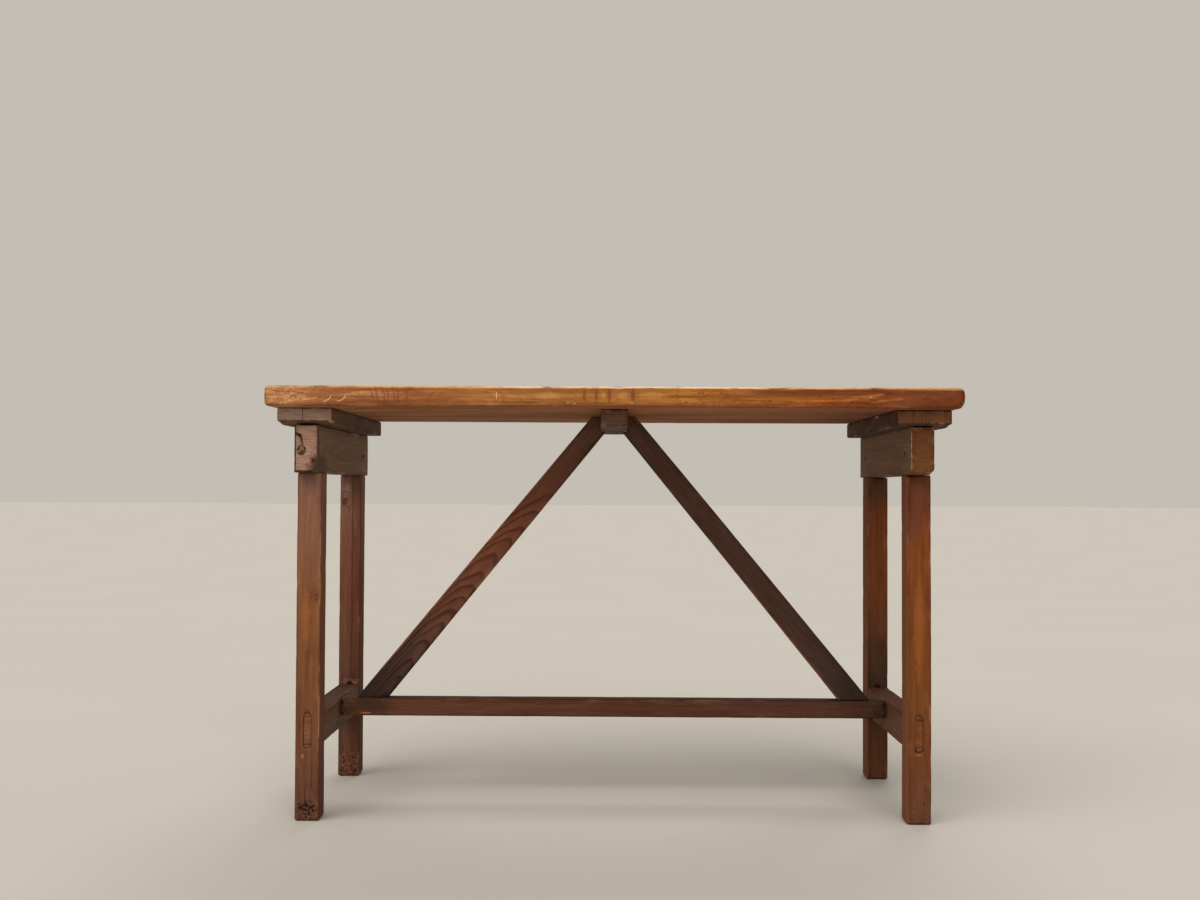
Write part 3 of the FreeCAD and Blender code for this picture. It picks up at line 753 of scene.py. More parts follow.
def front_edge_marks(half):
    """What years of use left on the top's front edge, which the photograph shows well, with a highlight
    painted along its upper arris.
    """
    front = -half[1] / MM

    def at(x, z):
        return (x, front, z)

    def oval(wide, tall):
        return (wide, FRONT_DEPTH, tall)

    marks = [blot(at(0, -16), oval(520, 7), EDGE_RED, 0.55),
             # The gold line and the paler one along the upper arris are pale worn wood and a painted
             # highlight together.
             soft_streak((-800, front + 2, 16.6), (780, front + 2, 16.6), 4.8, GOLD, 0.7),
             soft_streak((-260, front + 3, 16.8), (300, front + 3, 16.8), 4.8, PALE_WEAR_AND_HIGHLIGHT, 0.5),
             mottle(at(-560, 0), oval(55, 18), (214, 152, 106), 160, 0.5),
             mottle(at(180, -12), oval(80, 6), EDGE_RED, 200, 0.7)]
    for x, z, colour in ((-575, -2, GOLD), (-545, 9, ARC_BROWN), (-530, -6, GOLD), (-510, -11, ARC_BROWN),
                         (-462, 8, ARC_BROWN), (-440, -9, EDGE_RED), (-300, -4, EDGE_RED), (412, -1, AMBER),
                         (455, -4, AMBER), (425, 4, AMBER), (300, 6, EDGE_RED)):
        marks.append(soft_streak(at(x - 30, z - 4), at(x + 35, z + 3), 3, colour, 0.5))
    for x, wide in ((-50, 4), (-30, 4), (-8, 5), (32, 6)):
        marks.append(blot(at(x, 2), oval(wide, 20), (112, 58, 26), 0.75))
    for x, wide in ((-18, 7), (14, 15), (66, 34), (-110, 28)):
        marks.append(blot(at(x, 2), oval(wide, 10), (200, 140, 78), 0.4))
    marks.append(arc(at(70, 14), 38, 4, at(103, 1), oval(16, 16), ARC_BROWN, 0.6))
    for x, z in ((-490.4, 4.6), (-465.9, 5.1)):
        marks.append(arc(at(x, z), 14.2, 1.2, at(x + 8, z - 10), oval(13, 9), PALE_SCRATCH, 0.7))
    marks.append(crack_and_shade_line(at(-198, -4), at(-198, 7), 1, 2, PALE_SCRATCH))
    for radius in (30, 42, 55, 70):
        marks.append(arc(at(-470, -12), radius, 2.2, at(-470, 4), oval(85, 15), ARC_BROWN, 0.5))
    for x, z in ((-78, -10), (-67, -11), (431, 1), (30, -10)):
        marks.append(blot(at(x, z), oval(3.5, 1.6), (222, 168, 110), 0.6))
    for radius in (64, 73, 83, 90, 101, 108, 121):
        marks.append(arc(at(-470, -14), radius, 2.6, at(-378, 1), oval(60, 18), (104, 58, 30), 0.55))
    for x, z in ((121, -9), (143, 7), (149, 7), (180, 7), (262, -6),
                 (345, 3), (366, -1), (398, -8), (455, 6), (520, -2)):
        marks.append(blot(at(x, z), oval(4.8, 2.2), (70, 34, 16), 0.7))
    for x, z, reach in ((-586, -3, 14), (-576, 9, 12), (-550, 8, 25), (-545, -1, 18), (-528, 4, 14)):
        marks.append(crack_and_shade_line(at(x, z), at(x + reach, z - 3), 1.2, 8, (116, 68, 42)))
    marks.append(blot(at(581, -9), oval(2.6, 2.6), (40, 20, 12), 1, 2))
    return marks


def old_knot(centre, size):
    """A knot with the darker wood that lies round it."""
    around_it = (4 * size[0], 2 * size[1], size[2])
    return [blot(centre, around_it, STAIN, 0.4), knot(centre, size)]


def surface_marks(row, half):
    """Knots, stains, scratches and end splits of the boards' upper faces, and streaks on the underside."""
    end, _, face = in_mm(half)

    def at(x, y):
        return (x, y, face)

    streaks = []
    for x, y, reach in UNDERSIDE_STREAKS[row]:
        streaks.append(soft_streak((x - reach, y, -face), (x + reach, y, -face), 30, (84, 50, 32), 0.45))
    return streaks + {
        "front": [blot((200, -30, -face), (600, 160, 6), (144, 94, 62), 0.55),
                  *old_knot(at(-310, 30), (16, 10, 12)),
                  blot(at(-120, 40), (60, 40, 8), STAIN, 0.45),
                  arc(at(220, 10), 44, 3, at(220, 10), (70, 70, 10), STAIN, 0.4),
                  soft_streak(at(50, -60), at(160, -10), 1.2, PALE_SCRATCH, 0.6),
                  soft_streak(at(-250, -30), at(-140, -50), 1, PALE_SCRATCH, 0.6),
                  crack_and_shade_line(at(end, 35), at(end - 110, 30), 1.4),
                  crack_and_shade_line(at(-end, -20), at(70 - end, -24), 1.1)],
        "middle": [*old_knot(at(120, -34), (20, 12, 12)),
                   blot(at(390, 10), (80, 50, 8), STAIN, 0.4),
                   soft_streak(at(-350, 20), at(-260, -30), 1.2, PALE_SCRATCH, 0.6),
                   crack_and_shade_line(at(-50, 50), at(10, -20), 0.6, 2, STAIN),
                   crack_and_shade_line(at(-end, 12), at(130 - end, 8), 1.4),
                   crack_and_shade_line(at(end, -40), at(end - 60, -38), 1.1)],
        "rear": [*old_knot(at(-90, 24), (13, 9, 12)),
                 blot(at(-400, -10), (70, 50, 8), STAIN, 0.4),
                 worm_holes(at(470, 60), (60, 35, 10), 120, 0.25),
                 soft_streak(at(300, 30), at(390, -10), 1.2, PALE_SCRATCH, 0.6),
                 crack_and_shade_line(at(end, 20), at(end - 80, 24), 1.4)],
    }[row]


def top_board(row, front, back, seams, seed):
    low = TOP_FRONT[0]
    high = TOP_REAR[1]
    size = (high.x - low.x, back - front, high.z - low.z)
    half = [side / 2 for side in size]
    marks = surface_marks(row, half)
    ends = [side * (half[0] - END_STEP * n) for side in (-1, 1) for n in STEPS]
    arris = ()
    if row == "front":
        marks += front_edge_marks(half)
        arris = [ARRIS_STEP * n - half[1] for n in STEPS]
    piece = timber(f"board_{row}", size, edge=WORN_ARRIS[0], seed=seed, rounding=board_rounding(row, seams),
                   extra=(ends, arris, ()))
    stand(piece, (0, (front + back) / 2, (low.z + high.z) / 2), (1, 0, 0), (0, 1, 0))
    belong(piece, "top_wood", f"top_board_{row}")
    clad(piece, f"top_wood_{row}", TOP_TONES[row], half[0], seed, figure=0.4, spacing=0.008, swirl=0.06,
         streaks=0.8, broad=0.75, gleam=GLEAM_TINT, cloud=(150, 86, 40), gloss=0.42, polish=0.12,
         bare=((0, 0, -1), UNDERSIDE_TINT), marks=marks)


def top():
    seams = [TOP_FRONT[0].y, TOP_MIDDLE[0].y, TOP_REAR[0].y, TOP_REAR[1].y]
    top_board("front", seams[0], seams[1], (1,), seed=1)
    top_board("middle", seams[1], seams[2], (-1, 1), seed=2)
    top_board("rear", seams[2], seams[3], (-1,), seed=3)


# Battens

BATTEN_TONES = {
    "left": ((0, 114, 85, 60), (1, 100, 74, 51)),
    "right": ((0, 100, 68, 44), (1, 88, 62, 42)),
    "centre": ((0, 104, 78, 58), (1, 92, 70, 52)),
}
BATTEN_ENDS = {"left": (174, 146, 132), "right": (132, 86, 56), "centre": (112, 80, 64)}


def bevel_front(points, half):
    """The end battens' front ends are thinned from below."""
    along = unit((points[:, 0] + half[0]) / BATTEN_BEVEL_RUN)
    below = (half[2] - points[:, 2]) / (2 * half[2])
    points[:, 2] += BATTEN_BEVEL_RISE * (1 - along) * below
    return points


def batten(side, seed, shape, edge, saw, marks):
    low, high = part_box(f"batten_{side}")
    size = (high.y - low.y, high.x - low.x, high.z - low.z)
    piece = timber(f"batten_{side}", size, edge=edge, seed=seed, shape=shape,
                   extra=((BATTEN_BEVEL_RUN - size[0] / 2,), (), ()))
    stand(piece, middle((low, high)), (0, 1, 0), (-1, 0, 0))
    belong(piece, "batten_wood", f"batten_{side}")
    clad(piece, f"batten_wood_{side}", BATTEN_TONES[side], size[0] / 2, seed, gloss=0.78,
         end_tone=BATTEN_ENDS[side], saw=saw, clouds=0.25, marks=marks)


def batten_front(side):
    """Where the batten's front end lies along its grain, in millimetres."""
    low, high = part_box(f"batten_{side}")
    return (low.y - high.y) / 2 / MM


def battens():
    front = batten_front("left")
    split = crack_and_shade_line((front, 4, -12), (front, 3, 14), 0.9, 2)
    chip = blot((front + 6, -45, -9.5), (22, 8, 3.4), (196, 132, 84), 0.9)
    batten("left", 11, bevel_front, 0.003, (30, 30, 700), [split, chip])
    dot = blot((-79, 47.5, 12), (22, 6, 3.5), (226, 190, 166), 0.95)
    batten("right", 12, bevel_front, 0.003, (30, 700, 30), [dot])
    nick = blot((batten_front("centre"), 10, 11), (6, 6, 3.4), (160, 90, 60), 0.9)
    batten("centre", 13, None, 0.0024, (30, 30, 500), [nick])


# Head rails

RAIL_TONES = {
    "left": ((0, 116, 82, 56), (1, 112, 78, 54)),
    "right": ((0, 118, 80, 54), (1, 112, 76, 52)),
}
RAIL_ENDS = {"left": (178, 140, 120), "right": (108, 64, 33)}
RAIL_INNER_TINT = (1.48, 2, 2.5)

# Extra divisions near the rails' cut corners: their step in metres and one more than their number

RAIL_DIVISIONS = ((0.006, 11), (0.003, 6), (0.004, 10))


def waned(points, half):
    """The left rail's lower inner corner is missing at the front, where the log's round edge was."""
    fade = unit(1 - (points[:, 0] + half[0]) / WANE_LENGTH)
    width = WANE_WIDTH * fade
    height = WANE_HEIGHT * fade
    up = unit((points[:, 2] + half[2]) / np.maximum(height, 1e-6))
    limit = -half[1] + width * (1 - up) ** 1.6
    points[:, 1] = np.maximum(points[:, 1], limit)
    return points


def corner_cut(points, half):
    """The right rail's lower outer corner is cut off over its front leg."""
    fade = unit((CORNER_CUT_LENGTH - points[:, 0] - half[0]) / 0.002)
    spare = (points[:, 1] + half[1]) + (points[:, 2] + half[2])
    push = fade * np.clip(CORNER_CUT - spare, 0, CORNER_CUT) / 2
    points[:, 1] += push
    points[:, 2] += push
    lead = unit(1 - (points[:, 0] + half[0]) / RAIL_END_CHAMFER)
    points[:, 2] = np.maximum(points[:, 2], -half[2] + RAIL_END_CHAMFER * lead)
    return points


def rail_marks(side, half):
    """The knot and the bent split on the left rail's front end, painted shade on its wane and along the
    lower and outer edges of its end, and the right rail's rubbed arris.
    """
    reach, outer, top_edge = in_mm(half)
    front = -reach
    if side == "right":
        return [soft_streak((front, outer, 4 - top_edge), (front, outer, top_edge), 2.8, (172, 136, 118))]
    # Dark brown over the wane at the front of the inner face: painted shade.
    return [blot((front + 20, -outer, -30), (110, 30, 34), (76, 47, 32), 0.9),
            blot((front, -13, -20), (6, 4.5, 6), DARK_WOOD_AND_SHADE, 0.95, 1),
            blot((206, -outer, -2), (12, 6, 7), BLACK_GAP, 0.9),
            knot((front, 8, -2.5), (10, 8.5, 10)),
            crack_and_shade_line((front, outer, 27), (front, 10.5, 22.5), 4.4, 6),
            blot((front, 12.5, 23.5), (6, 4, 2.6), BLACK_GAP, 0.95, 1),
            crack_and_shade_line((front + 6, -outer, top_edge), (front + 16, -outer, -top_edge), 9, 6, (72, 47, 34)),
            crack_and_shade_line((front, 10.5, 22.5), (front, 5.5, 8.5), 3, 6),
            # The next two dark lines, along the lower and outer edges of the front end, are painted shade
            # standing for chamfers in shadow.
            crack_and_shade_line((front, -outer, 1.4 - top_edge), (front, outer, 1.4 - top_edge), 4),
            crack_and_shade_line((front, outer - 1, -top_edge), (front, outer - 1, top_edge), 2.8)]


def head_rail(side, seed):
    low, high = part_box(f"head_rail_{side}")
    size = (high.y - low.y, high.x - low.x, high.z - low.z)
    half = [length / 2 for length in size]
    extra = [[step * n - side_half for n in range(1, count)]
             for (step, count), side_half in zip(RAIL_DIVISIONS, half)]
    piece = timber(f"head_rail_{side}", size, edge=0.0018, seed=seed, extra=extra,
                   shape=waned if side == "left" else corner_cut)
    stand(piece, middle((low, high)), (0, 1, 0), (-1, 0, 0))
    carve(piece, *[peg_hole(end, side) for end in ENDS])
    belong(piece, "frame_wood", f"head_rail_{side}")
    inner = (0, SIDES[side], 0)
    clad(piece, f"rail_wood_{side}", RAIL_TONES[side], half[0], seed, gloss=0.78, clouds=0.2, streaks=0.2,
         grime=0.2, end_tone=RAIL_ENDS[side], bare=(inner, RAIL_INNER_TINT), marks=rail_marks(side, half))


def peg_hole(end, side):
    """A cutter for the hole across a head rail over one leg's tenon."""
    outline = []
    for step in range(PEG_SIDES):
        angle = math.tau * step / PEG_SIDES
        outline.append((PEG_HOLE_RADIUS * math.cos(angle), PEG_HOLE_RADIUS * math.sin(angle)))
    hole = solid("peg_hole", outline, PEG_CUT)
    centre = middle(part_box(f"leg_{end}_{side}"))
    hole.location = (centre.x, centre.y, middle(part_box("leg_pegs")).z)
    hole.rotation_euler.z = math.pi / 2
    return hole


# Legs

LEG_TONES = {
    "front_left": ((0, 103, 66, 47), (0.25, 118, 74, 49), (0.6, 134, 84, 49), (0.8, 140, 94, 69),
                   (1, 146, 106, 85)),
    "front_right": ((0, 100, 57, 32), (0.35, 116, 65, 21), (0.54, 115, 63, 16), (0.65, 122, 64, 16),
                    (0.76, 133, 68, 16), (0.84, 124, 61, 12), (0.91, 106, 49, 12), (1, 104, 51, 14)),
    "rear_left": ((0, 104, 68, 50), (0.38, 108, 71, 52), (0.62, 123, 77, 53), (0.78, 138, 89, 64),
                  (0.88, 146, 104, 84), (1, 128, 93, 82)),
    # The darkest stretch, about 0.29 to 0.45 along the leg just above the cross rail, is painted shade of
    # the brace.
    "rear_right": ((0, 92, 52, 24), (0.15, 86, 50, 23), (0.29, 62, 40, 18), (0.36, 66, 42, 16),
                   (0.45, 78, 45, 15), (0.6, 118, 62, 17), (0.74, 128, 67, 18), (0.87, 120, 60, 19),
                   (0.95, 88, 51, 22), (1, 80, 44, 22)),
}
CHIP_EDGE = (160, 122, 108)
LEG_INNER_TINT = (0.98, 0.97, 0.95)

# Pits in the front faces of two legs, in millimetres: height over the floor, place across, radii and depth

LEG_PITS = {
    "front_left": ((21, -10.5, 5.5, 5.5, 4), (16.5, -2.5, 6.5, 6.5, 6), (19.5, 6.5, 6, 6, 5),
                   (24.5, 11.5, 4, 4, 3), (25.5, 0, 4.5, 4.5, 4), (27.5, -13, 3.5, 3.5, 2.5),
                   (11, 4, 4, 4, 3)),
    "rear_left": ((12, -12, 4, 4, 3), (20, 4, 4, 4, 3), (30, -6, 4, 4, 3), (8, 12, 5, 5, 4),
                  (36, 8, 3.5, 3.5, 2.5), (580, -8, 11, 8, 1.6), (566, -14, 6, 6, 1.4),
                  (556.5, -9, 2.6, 12, 1.8)),
}


def leg_hollows(name, half):
    hollows = []
    for pit in LEG_PITS.get(name, ()):
        height, across, tall, wide, depth = [length * MM for length in pit]
        hollows.append(((height / half[0] - 1, across / half[1], -1), (tall, wide, wide), (0, 0, depth)))
    return hollows


def worn_front_arris(points, half, radius):
    """The front right leg's inner front arris is rubbed round."""
    inner = unit((RUBBED_REACH - half[1] - points[:, 1]) / RUBBED_FADE)
    front = unit((RUBBED_REACH - half[2] - points[:, 2]) / RUBBED_FADE)
    return radius * (1 + 1.2 * (inner * front))[:, None]


def pared_foot(points, half):
    """The foot's edges are pared away all round."""
    height = points[:, 0] + half[0]
    pared = unit(1 - height / FOOT_CHAMFER) * FOOT_CHAMFER
    for axis in (1, 2):
        points[:, axis] = np.clip(points[:, axis], pared - half[axis], half[axis] - pared)
    return points


def slot_outline(centre_x, centre_z):
    """A tall slot with round ends."""
    radius = SLOT_WIDTH / 2
    straight = SLOT_HEIGHT / 2 - radius
    outline = []
    for step in range(18):
        angle = math.pi * (step if step <= 8 else step - 1) / 8
        rise = straight if step <= 8 else -straight
        outline.append((centre_x + radius * math.cos(angle), centre_z + rise + radius * math.sin(angle)))
    return outline


def leg_marks(name, half):
    """Knots, worm holes and splits of one leg; the front is the -Z side of a leg's own frame."""
    foot, inner, front = [-length for length in in_mm(half)]

    def at(height, across):
        return (foot + height, across, front)

    # One paler, greyer colour laid over a leg's whole inner face; used on the right legs.
    pale_grey_inner_face = blot((0, inner, 0), (3000, 3.5, 150), (134, 86, 58), 0.75)
    return {
        "front_left": [
            blot(at(390, 10), (20, 11, 10), (104, 60, 38), 0.55),
            mottle(at(390, 10), (14, 9, 10), (62, 36, 24), 260, 0.8, 0.4),
            blot(at(590, 0), (40, 20, 10), (112, 80, 74), 0.6),
            blot(at(350, -4), (70, 12, 10), (160, 98, 50), 0.4),
            mottle(at(19, 0), (10, 12, 20), (172, 126, 104), 330, 0.6),
            mottle(at(18, 0), (22, 22, 20), (36, 22, 16), 210, 0.95, 0.8),
            mottle(at(20, 0), (18, 20, 20), (36, 22, 16), 290, 0.95, 0.8),
            crack_and_shade_line(at(28, -4), at(62, -3), 1.1),
            crack_and_shade_line(at(60, 8), at(100, 9)),
            blot(at(112, -8), (6, 3.5, 6), (176, 118, 66), 0.5),
            crack_and_shade_line(at(179, -7), at(179, 7), 1, 2),
            crack_and_shade_line(at(134, -7), at(134, 7), 1, 2),
        ],
        "front_right": [
            pale_grey_inner_face,
            worm_holes(at(20, 0), (30, 30, 20), 150, 0.2),
            blot(at(340, 0), (130, 14, 10), (160, 88, 38), 0.4),
            arc(at(132.5, 0), 8, 2, at(125.5, 0), (9, 13, 10), DARK_WOOD_AND_SHADE, 0.9),
            blot(at(120.5, -1), (3, 9, 5), (170, 106, 64), 0.45),
        ],
        "rear_left": [
            band(1, 0, 6, (0.86, 0.76, 0.72)),
            blot(at(585, -6), (35, 16, 10), (122, 88, 82), 0.7),
            mottle(at(22, 0), (36, 30, 20), (140, 78, 42), 290, 0.65),
            mottle(at(20, 0), (40, 30, 20), (44, 26, 18), 240, 0.9, 0.8),
            worm_holes(at(30, 0), (50, 30, 20), 150, 0.18),
            mottle(at(205, 6), (20, 16, 20), (60, 36, 26), 230, 0.8, 0.5),
            mottle(at(190, 2), (7, 24, 10), (196, 122, 98), 330, 0.7),
            crack_and_shade_line(at(100, 4), at(600, 4), 0.8),
            blot(at(552, -12), (10, 8, 8), (66, 44, 38), 0.75, 0.5),
            blot(at(580, -8), (12, 8, 8), (150, 112, 96), 0.5),
            mottle(at(572, -8), (20, 12, 10), CHIP_EDGE, 200, 0.6, 0.3),
            mottle(at(538, -4), (24, 10, 10), CHIP_EDGE, 160, 0.35),
            crack_and_shade_line(at(546, -17), at(541, -8), 1.2, 4),
        ],
        "rear_right": [pale_grey_inner_face, worm_holes(at(20, 0), (30, 30, 20), 150, 0.3)],
    }[name]


def leg(end, side, seed):
    name = f"leg_{end}_{side}"
    low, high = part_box(name)
    height = RAIL_UNDERSIDE - low.z
    size = (height, high.x - low.x, high.y - low.y)
    half = [length / 2 for length in size]
    piece = timber(name, size, edge=0.0026, seed=seed, shape=pared_foot, worn=0.8,
                   extra=((FOOT_CHAMFER - half[0],), (), ()), hollows=leg_hollows(f"{end}_{side}", half),
                   rounding=worn_front_arris if name == "leg_front_right" else None)
    centre = middle((low, high))
    centre.z = low.z + half[0]
    stand(piece, centre, (0, 0, 1), (1, 0, 0))
    slot = solid("slot", slot_outline(centre.x, middle(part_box(f"cross_rail_{side}")).z), SLOT_CUT)
    slot.location.y = centre.y
    carve(piece, slot)
    belong(piece, "frame_wood", name)
    inner = (0, -SIDES[side], 0)
    clad(piece, f"leg_wood_{end}_{side}", LEG_TONES[f"{end}_{side}"], half[0], seed, figure=0.22, gloss=0.5,
         dirt=0.35, chips=0.4, bare=(inner, LEG_INNER_TINT), marks=leg_marks(f"{end}_{side}", half))


# Cross rails, stretcher and braces

TENON_TONES = {
    "front_left": (126, 82, 56), "front_right": (118, 66, 30),
    "rear_left": (112, 70, 48), "rear_right": (98, 54, 26),
}
CROSS_TONES = {
    "left": ((0, 114, 84, 62), (1, 102, 76, 57)),
    "right": ((0, 122, 80, 56), (1, 116, 76, 54)),
}
SHADOW_TINT = (0.62, 0.58, 0.54)


def cross_rail_marks(side, half):
    """Painted shade in the corner before the stretcher, and a rubbed arris in front of it on the left rail.
    """
    reach, width, top_edge = in_mm(half)
    inner = SIDES[side] * width
    # A dark patch on the inner face just before the stretcher: painted shade in the corner.
    marks = [blot((-30, inner, 10), (16, 6, 24), DARK_WOOD_AND_SHADE)]
    if side == "left":
        marks.append(soft_streak((-reach, inner, top_edge), (-30, inner, top_edge), 4.5, (150, 90, 60), 0.8))
    return marks


def cross_rail(side, seed):
    name = f"cross_rail_{side}"
    low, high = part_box(name)
    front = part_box(f"leg_front_{side}")
    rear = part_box(f"leg_rear_{side}")
    size = (rear[0].y - front[1].y, high.x - low.x, high.z - low.z)
    half = [length / 2 for length in size]
    piece = timber(name, size, edge=0.002, seed=seed)
    stand(piece, middle((low, high)), (0, 1, 0), (-1, 0, 0))
    belong(piece, "frame_wood", name)
    # Their tops are darkened with SHADOW_TINT: painted shade under the table top.
    clad(piece, f"cross_rail_wood_{side}", CROSS_TONES[side], half[0], seed, gloss=0.75,
         bare=((0, 0, 1), SHADOW_TINT), marks=cross_rail_marks(side, half))
    for end in ENDS:
        tenon(end, side, middle((low, high)).z, seed)


def tenon(end, side, height, seed):
    """The tenons reach through the legs and stop just short of their far faces."""
    low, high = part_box(f"leg_{end}_{side}")
    size = (high.y - low.y, TENON_WIDTHS[side], TENON_HEIGHT)
    piece = timber(f"tenon_{end}_{side}", size, edge=0.0006, seed=seed + ENDS[end])
    centre = middle((low, high))
    centre.z = height
    centre.y -= ENDS[end] * TENON_SHORT
    centre.x -= SIDES[side] * TENON_SHIFT[side]
    stand(piece, centre, (0, 1, 0), (-1, 0, 0))
    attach(piece, "root")
    tone = TENON_TONES[f"{end}_{side}"]
    clad(piece, f"tenon_wood_{end}_{side}", ((0, *tone), (1, *tone)), size[0] / 2, seed, end_tone=tone,
         dirt=0.3, chips=0.05, grime=0.25, gloss=0.6)


STRETCHER_TONES = ((0, 112, 70, 47), (0.2, 104, 63, 44), (0.5, 91, 55, 37), (1, 80, 49, 32))


def stretcher_marks(half):
    """A painted shadow and a pale streak near the left end, and painted shade and open joints at both ends.
    """
    reach, depth, _ = in_mm(half)
    front = -depth
    # The dark patch at the left end is a painted shadow of the front leg.
    marks = [blot((54 - reach, front, 2), (62, 6, 36), (54, 36, 24)),
             blot((47 - reach, front, -11), (15, 6, 2.6), (176, 106, 60), 0.7)]
    for hand in SIDES.values():
        # At each end, the wide dark patch is painted shade where the stretcher meets the cross rail; the
        # black spots are the open joints.
        marks += [blot((hand * (reach - 10), front, 0), (24, 10, 20), DARK_WOOD_AND_SHADE, 0.5),
                  blot((hand * (reach - 1), front, 9), (5, 8, 10), BLACK_GAP, 1, 1.5),
                  blot((hand * (reach - 1), front, -13), (4, 8, 5), BLACK_GAP, 1, 1.5)]
    return marks


def stretcher():
    low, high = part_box("stretcher")
    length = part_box("cross_rail_right")[0].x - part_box("cross_rail_left")[1].x
    size = (length, high.y - low.y, high.z - low.z)
    piece = timber("stretcher", size, edge=0.002, seed=41)
    stand(piece, middle((low, high)), (1, 0, 0), (0, 1, 0))
    belong(piece, "frame_wood", "stretcher")
    half = [side / 2 for side in size]
    # Its top is darkened with SHADOW_TINT: painted shade.
    clad(piece, "stretcher_wood", STRETCHER_TONES, half[0], 41, figure=0.3, gloss=0.68, chips=0.12,
         bare=((0, 0, 1), SHADOW_TINT), marks=stretcher_marks(half))


# Each brace's tones grow much darker towards its foot, at 0: painted shade.
BRACE_TONES = {
    "left": ((0.02, 60, 44, 37), (0.22, 94, 64, 51), (0.42, 124, 78, 56),
             (0.6, 134, 80, 54), (0.85, 114, 70, 51), (1, 106, 75, 58)),
    "right": ((0.02, 50, 38, 32), (0.3, 70, 45, 31), (0.85, 86, 56, 41), (1, 98, 71, 56)),
}


def brace_marks(side, half):
    """A pale outer arris and a dark notch on the left brace, and a reddish highlight painted along the right
    one's inner arris.
    """
    _, edge, face = in_mm(half)
    if side == "left":
        return [soft_streak((-300, edge, face), (340, edge, face), 3.6, (156, 100, 68)),
                blot((-36, 2.5 - edge, face), (14, 6, 10), DARK_WOOD_AND_SHADE, 0.9, 1)]
    # A reddish line along the right brace's inner arris: a painted highlight.
    return [soft_streak((-300, 1 - edge, -face), (120, 4 - edge, -face), 3, (132, 70, 48))]


def nail_recesses(side, depth):
    """Cutters for the square holes in which a brace's nails are sunk."""
    recesses = []
    for (across, start), rise in ((FOOT_NAIL, NAIL_RECESS_DEPTH), (HEAD_NAIL, -NAIL_RECESS_DEPTH)):
        centre = SIDES[side] * across
        left, right = centre - NAIL_RECESS, centre + NAIL_RECESS
        low, high = sorted((start, start + rise))
        recess = solid("recess", [(left, low), (right, low), (right, high), (left, high)], NAIL_RECESS)
        recess.location.y = depth
        recesses.append(recess)
    return recesses


def brace(side, seed):
    """A tapered brace whose head is notched round the centre batten and whose foot stands level."""
    low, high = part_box(f"brace_{side}")
    hand = SIDES[side]
    run = high.x - low.x
    rise = BATTEN_UNDERSIDE - low.z
    angle = math.atan2(rise, run) + math.asin(BRACE_HEAD_WIDTH / math.hypot(run, rise))
    grain = Vector((-hand * math.cos(angle), 0, math.sin(angle)))
    width = Vector((hand * math.sin(angle), 0, math.cos(angle)))
    foot = Vector((low.x if hand < 0 else high.x, (low.y + high.y) / 2, low.z))
    toe = Vector((high.x if hand < 0 else low.x, foot.y, BATTEN_UNDERSIDE))
    batten_side = CENTRE_BATTEN[0].x if hand < 0 else CENTRE_BATTEN[1].x
    notch_low = Vector((batten_side, foot.y, BATTEN_UNDERSIDE))
    notch_high = Vector((batten_side, foot.y, TOP_UNDERSIDE))
    length = rise / math.sin(angle)
    centre = foot + grain * length / 2 - width * BRACE_FOOT_WIDTH / 2
    head_top = foot + grain * (TOP_UNDERSIDE - foot.z) / math.sin(angle)
    head = [((point - centre).dot(width), (point - centre).dot(grain))
            for point in (toe, notch_low, notch_high, head_top)]
    inner_foot = BRACE_FOOT_WIDTH / math.tan(angle) - length / 2
    taper = BRACE_HEAD_WIDTH / BRACE_FOOT_WIDTH

    def cut_ends(points, half):
        share = (points[:, 0] + half[0]) / (2 * half[0])

        def along():
            start = -half[0] + (half[1] - points[:, 1]) / math.tan(angle)
            finish = np.interp(points[:, 1], *zip(*head))
            return start + share * (finish - start)

        narrowed = np.interp(along(), (inner_foot, head[0][1]), (1, taper))
        points[:, 1] = half[1] - (half[1] - points[:, 1]) * narrowed
        points[:, 0] = along()
        return points

    size = (length, BRACE_FOOT_WIDTH, high.y - low.y)
    half = [side_length / 2 for side_length in size]
    notches = [half[1] - (half[1] - v) / taper for v, _ in head[1:3]]
    piece = timber(f"brace_{side}", size, edge=0.0018, seed=seed, shape=cut_ends, extra=((), notches, ()))
    stand(piece, centre, grain, width)
    carve(piece, *nail_recesses(side, foot.y))
    belong(piece, "frame_wood", f"brace_{side}")
    clad(piece, f"brace_wood_{side}", BRACE_TONES[side], half[0], seed, gloss=0.55, swirl=0.009, clouds=0.2,
         figure=1.4 if side == "left" else 0.3, pith=(0, -0.013, hand * 0.033), slant=(0, 0, hand * 0.125),
         spacing=0.0047, ring_end=0.19, chips=0.2, marks=brace_marks(side, half))


def frame_timbers():
    for n, (side, end) in enumerate(itertools.product(SIDES, ENDS)):
        leg(end, side, seed=31 + n)
    for n, side in enumerate(SIDES):
        head_rail(side, seed=21 + n)
        cross_rail(side, seed=36 + n)
        brace(side, seed=51 + n)
    stretcher()


# Pegs, wedges and nails

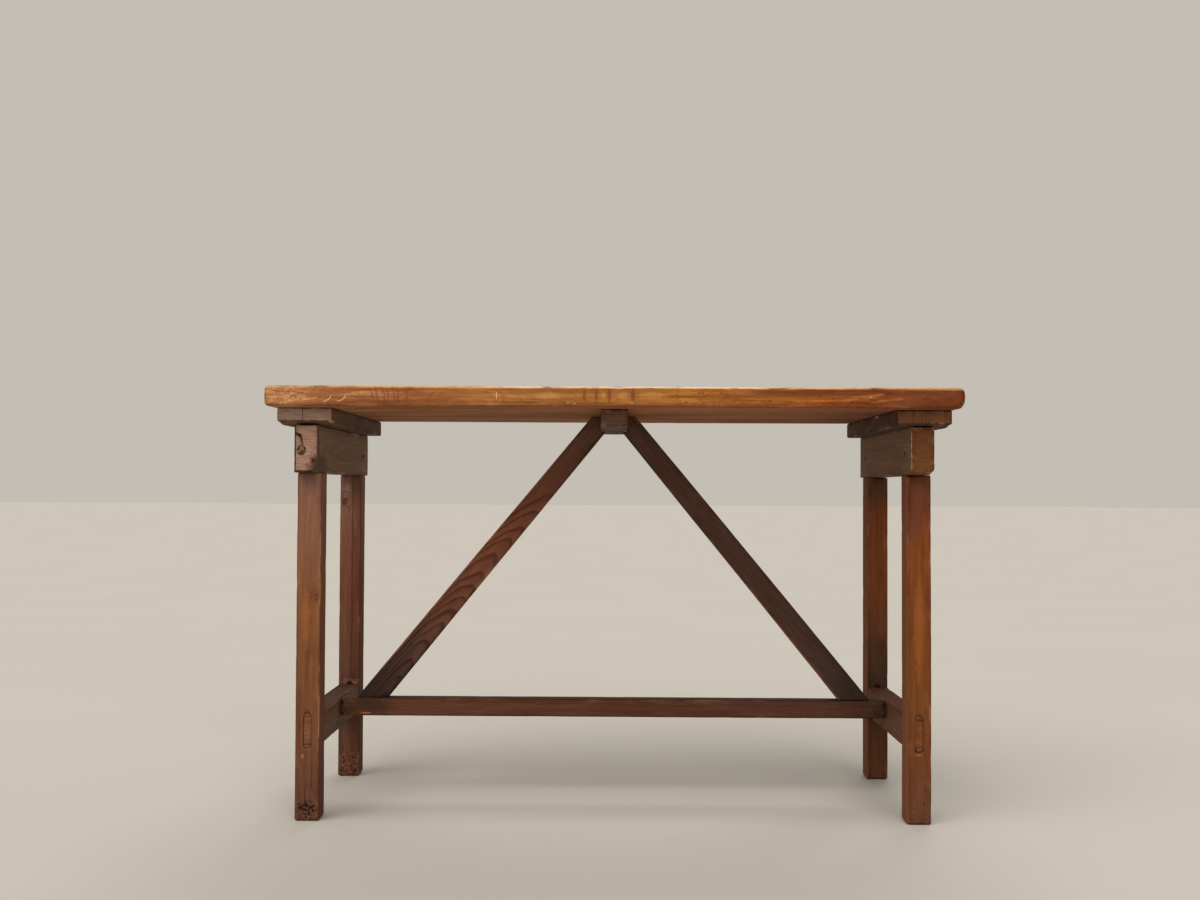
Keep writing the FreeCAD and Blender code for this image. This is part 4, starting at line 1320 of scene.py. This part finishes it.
def fastenings():
    tones = ((0, 120, 80, 54), (1, 112, 74, 50))
    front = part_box("tenon_wedges")[0].y / MM
    stain = blot((530, front, 178), (6.5, 12, 9), (70, 42, 40), 0.9)
    wedge = wood("wedge_wood", tones, 1, 61, gloss=0.65, marks=[stain])
    dark = ((0, 70, 46, 32), (1, 62, 40, 28))
    peg = wood("peg_wood", dark, 1, 62, gloss=0.75, chips=0)
    rust = iron("old_iron")
    for node, scale, shift, material, slot in (
            ("leg_pegs", (0.95, 0.98, 0.98), (0, 0, 0), peg, "peg_wood"),
            ("tenon_wedges", (0.93, 1, 0.9), (0, 0, 0), wedge, "peg_wood"),
            ("batten_nails", (1, 1, 1), (0, 0, -NAIL_PROUD), rust, "old_iron")):
        piece = worn_copy(f"worn_{node}", node, Vector(scale), shift)
        belong(piece, slot, node)
        piece.data.materials.append(material)
    for node, material in (("rail_dowels", peg), ("brace_nails", rust)):
        mesh = frame["nodes"][node].data
        mesh.materials.clear()
        mesh.materials.append(material)


# Studio

FLOOR_REACH = 60
BACKDROP = (196, 190, 180)
LAMP_COLOUR = (1, 0.97, 0.92)


def floor():
    mesh = bpy.data.meshes.new("floor")
    corners = [(FLOOR_REACH * x, FLOOR_REACH * y, 0) for x, y in ((-1, -1), (1, -1), (1, 1), (-1, 1))]
    mesh.from_pydata(corners, [], [(0, 1, 2, 3)])
    g = Graph("floor")
    cloud = g.noise(g.place, 1.5, 3)
    g.colour = g.tones(cloud, ((0.3, 187, 182, 173), (0.7, 189, 184, 175)))
    g.raise_by(cloud, 0.02)
    mesh.materials.append(g.finish(g.between(cloud, 0.3, 0.7, 0.8, 0.9), **{"Specular IOR Level": 0}))
    plane = add_object("floor", mesh)


def world():
    """An even pale room lights the table; the camera sees a tone close to the floor's."""
    studio = bpy.data.worlds.new("studio")
    bpy.context.scene.world = studio
    studio.use_nodes = True
    tree = studio.node_tree
    tree.nodes.clear()
    light = tree.nodes.new("ShaderNodeBackground")
    light.inputs["Color"].default_value = (1, 0.97, 0.93, 1)
    light.inputs["Strength"].default_value = 0.34
    seen = tree.nodes.new("ShaderNodeBackground")
    seen.inputs["Color"].default_value = srgb(*BACKDROP)
    path = tree.nodes.new("ShaderNodeLightPath")
    blend = tree.nodes.new("ShaderNodeMixShader")
    output = tree.nodes.new("ShaderNodeOutputWorld")
    for n, socket in enumerate((path.outputs["Is Camera Ray"], light.outputs[0], seen.outputs[0])):
        tree.links.new(socket, blend.inputs[n])
    tree.links.new(blend.outputs[0], output.inputs[0])


def sun(name, towards, strength, spread, colour):
    """A broad soft lamp far away that shines in the given direction."""
    data = bpy.data.lights.new(name, "SUN")
    data.energy = strength
    data.angle = math.radians(spread)
    data.color = colour
    lamp = add_object(name, data)
    lamp.rotation_euler = Vector(towards).to_track_quat("-Z", "Y").to_euler()


def lights():
    sun("key", (0.35, 0.8, -1.2), 2.2, 60, LAMP_COLOUR)
    sun("front", (-0.2, 1, -0.25), 0.95, 50, LAMP_COLOUR)
    sun("back", (-0.1, -0.64, -0.77), 1, 30, (1, 0.98, 0.95))


def camera():
    data = bpy.data.cameras.new("camera")
    data.lens = CAMERA_LENS
    data.sensor_width = SENSOR_WIDTH
    data.clip_end = CLIP_END
    eye = add_object("camera", data)
    turn = (Matrix.Rotation(math.radians(CAMERA_YAW), 4, "Z")
            @ Matrix.Rotation(math.radians(90 + CAMERA_PITCH), 4, "X")
            @ Matrix.Rotation(math.radians(CAMERA_ROLL), 4, "Z"))
    eye.matrix_world = Matrix.Translation(CAMERA_PLACE) @ turn
    bpy.context.scene.camera = eye


top()
battens()
frame_timbers()
fastenings()
floor()
world()
lights()
camera()
bpy.context.scene.view_settings.view_transform = "Standard"
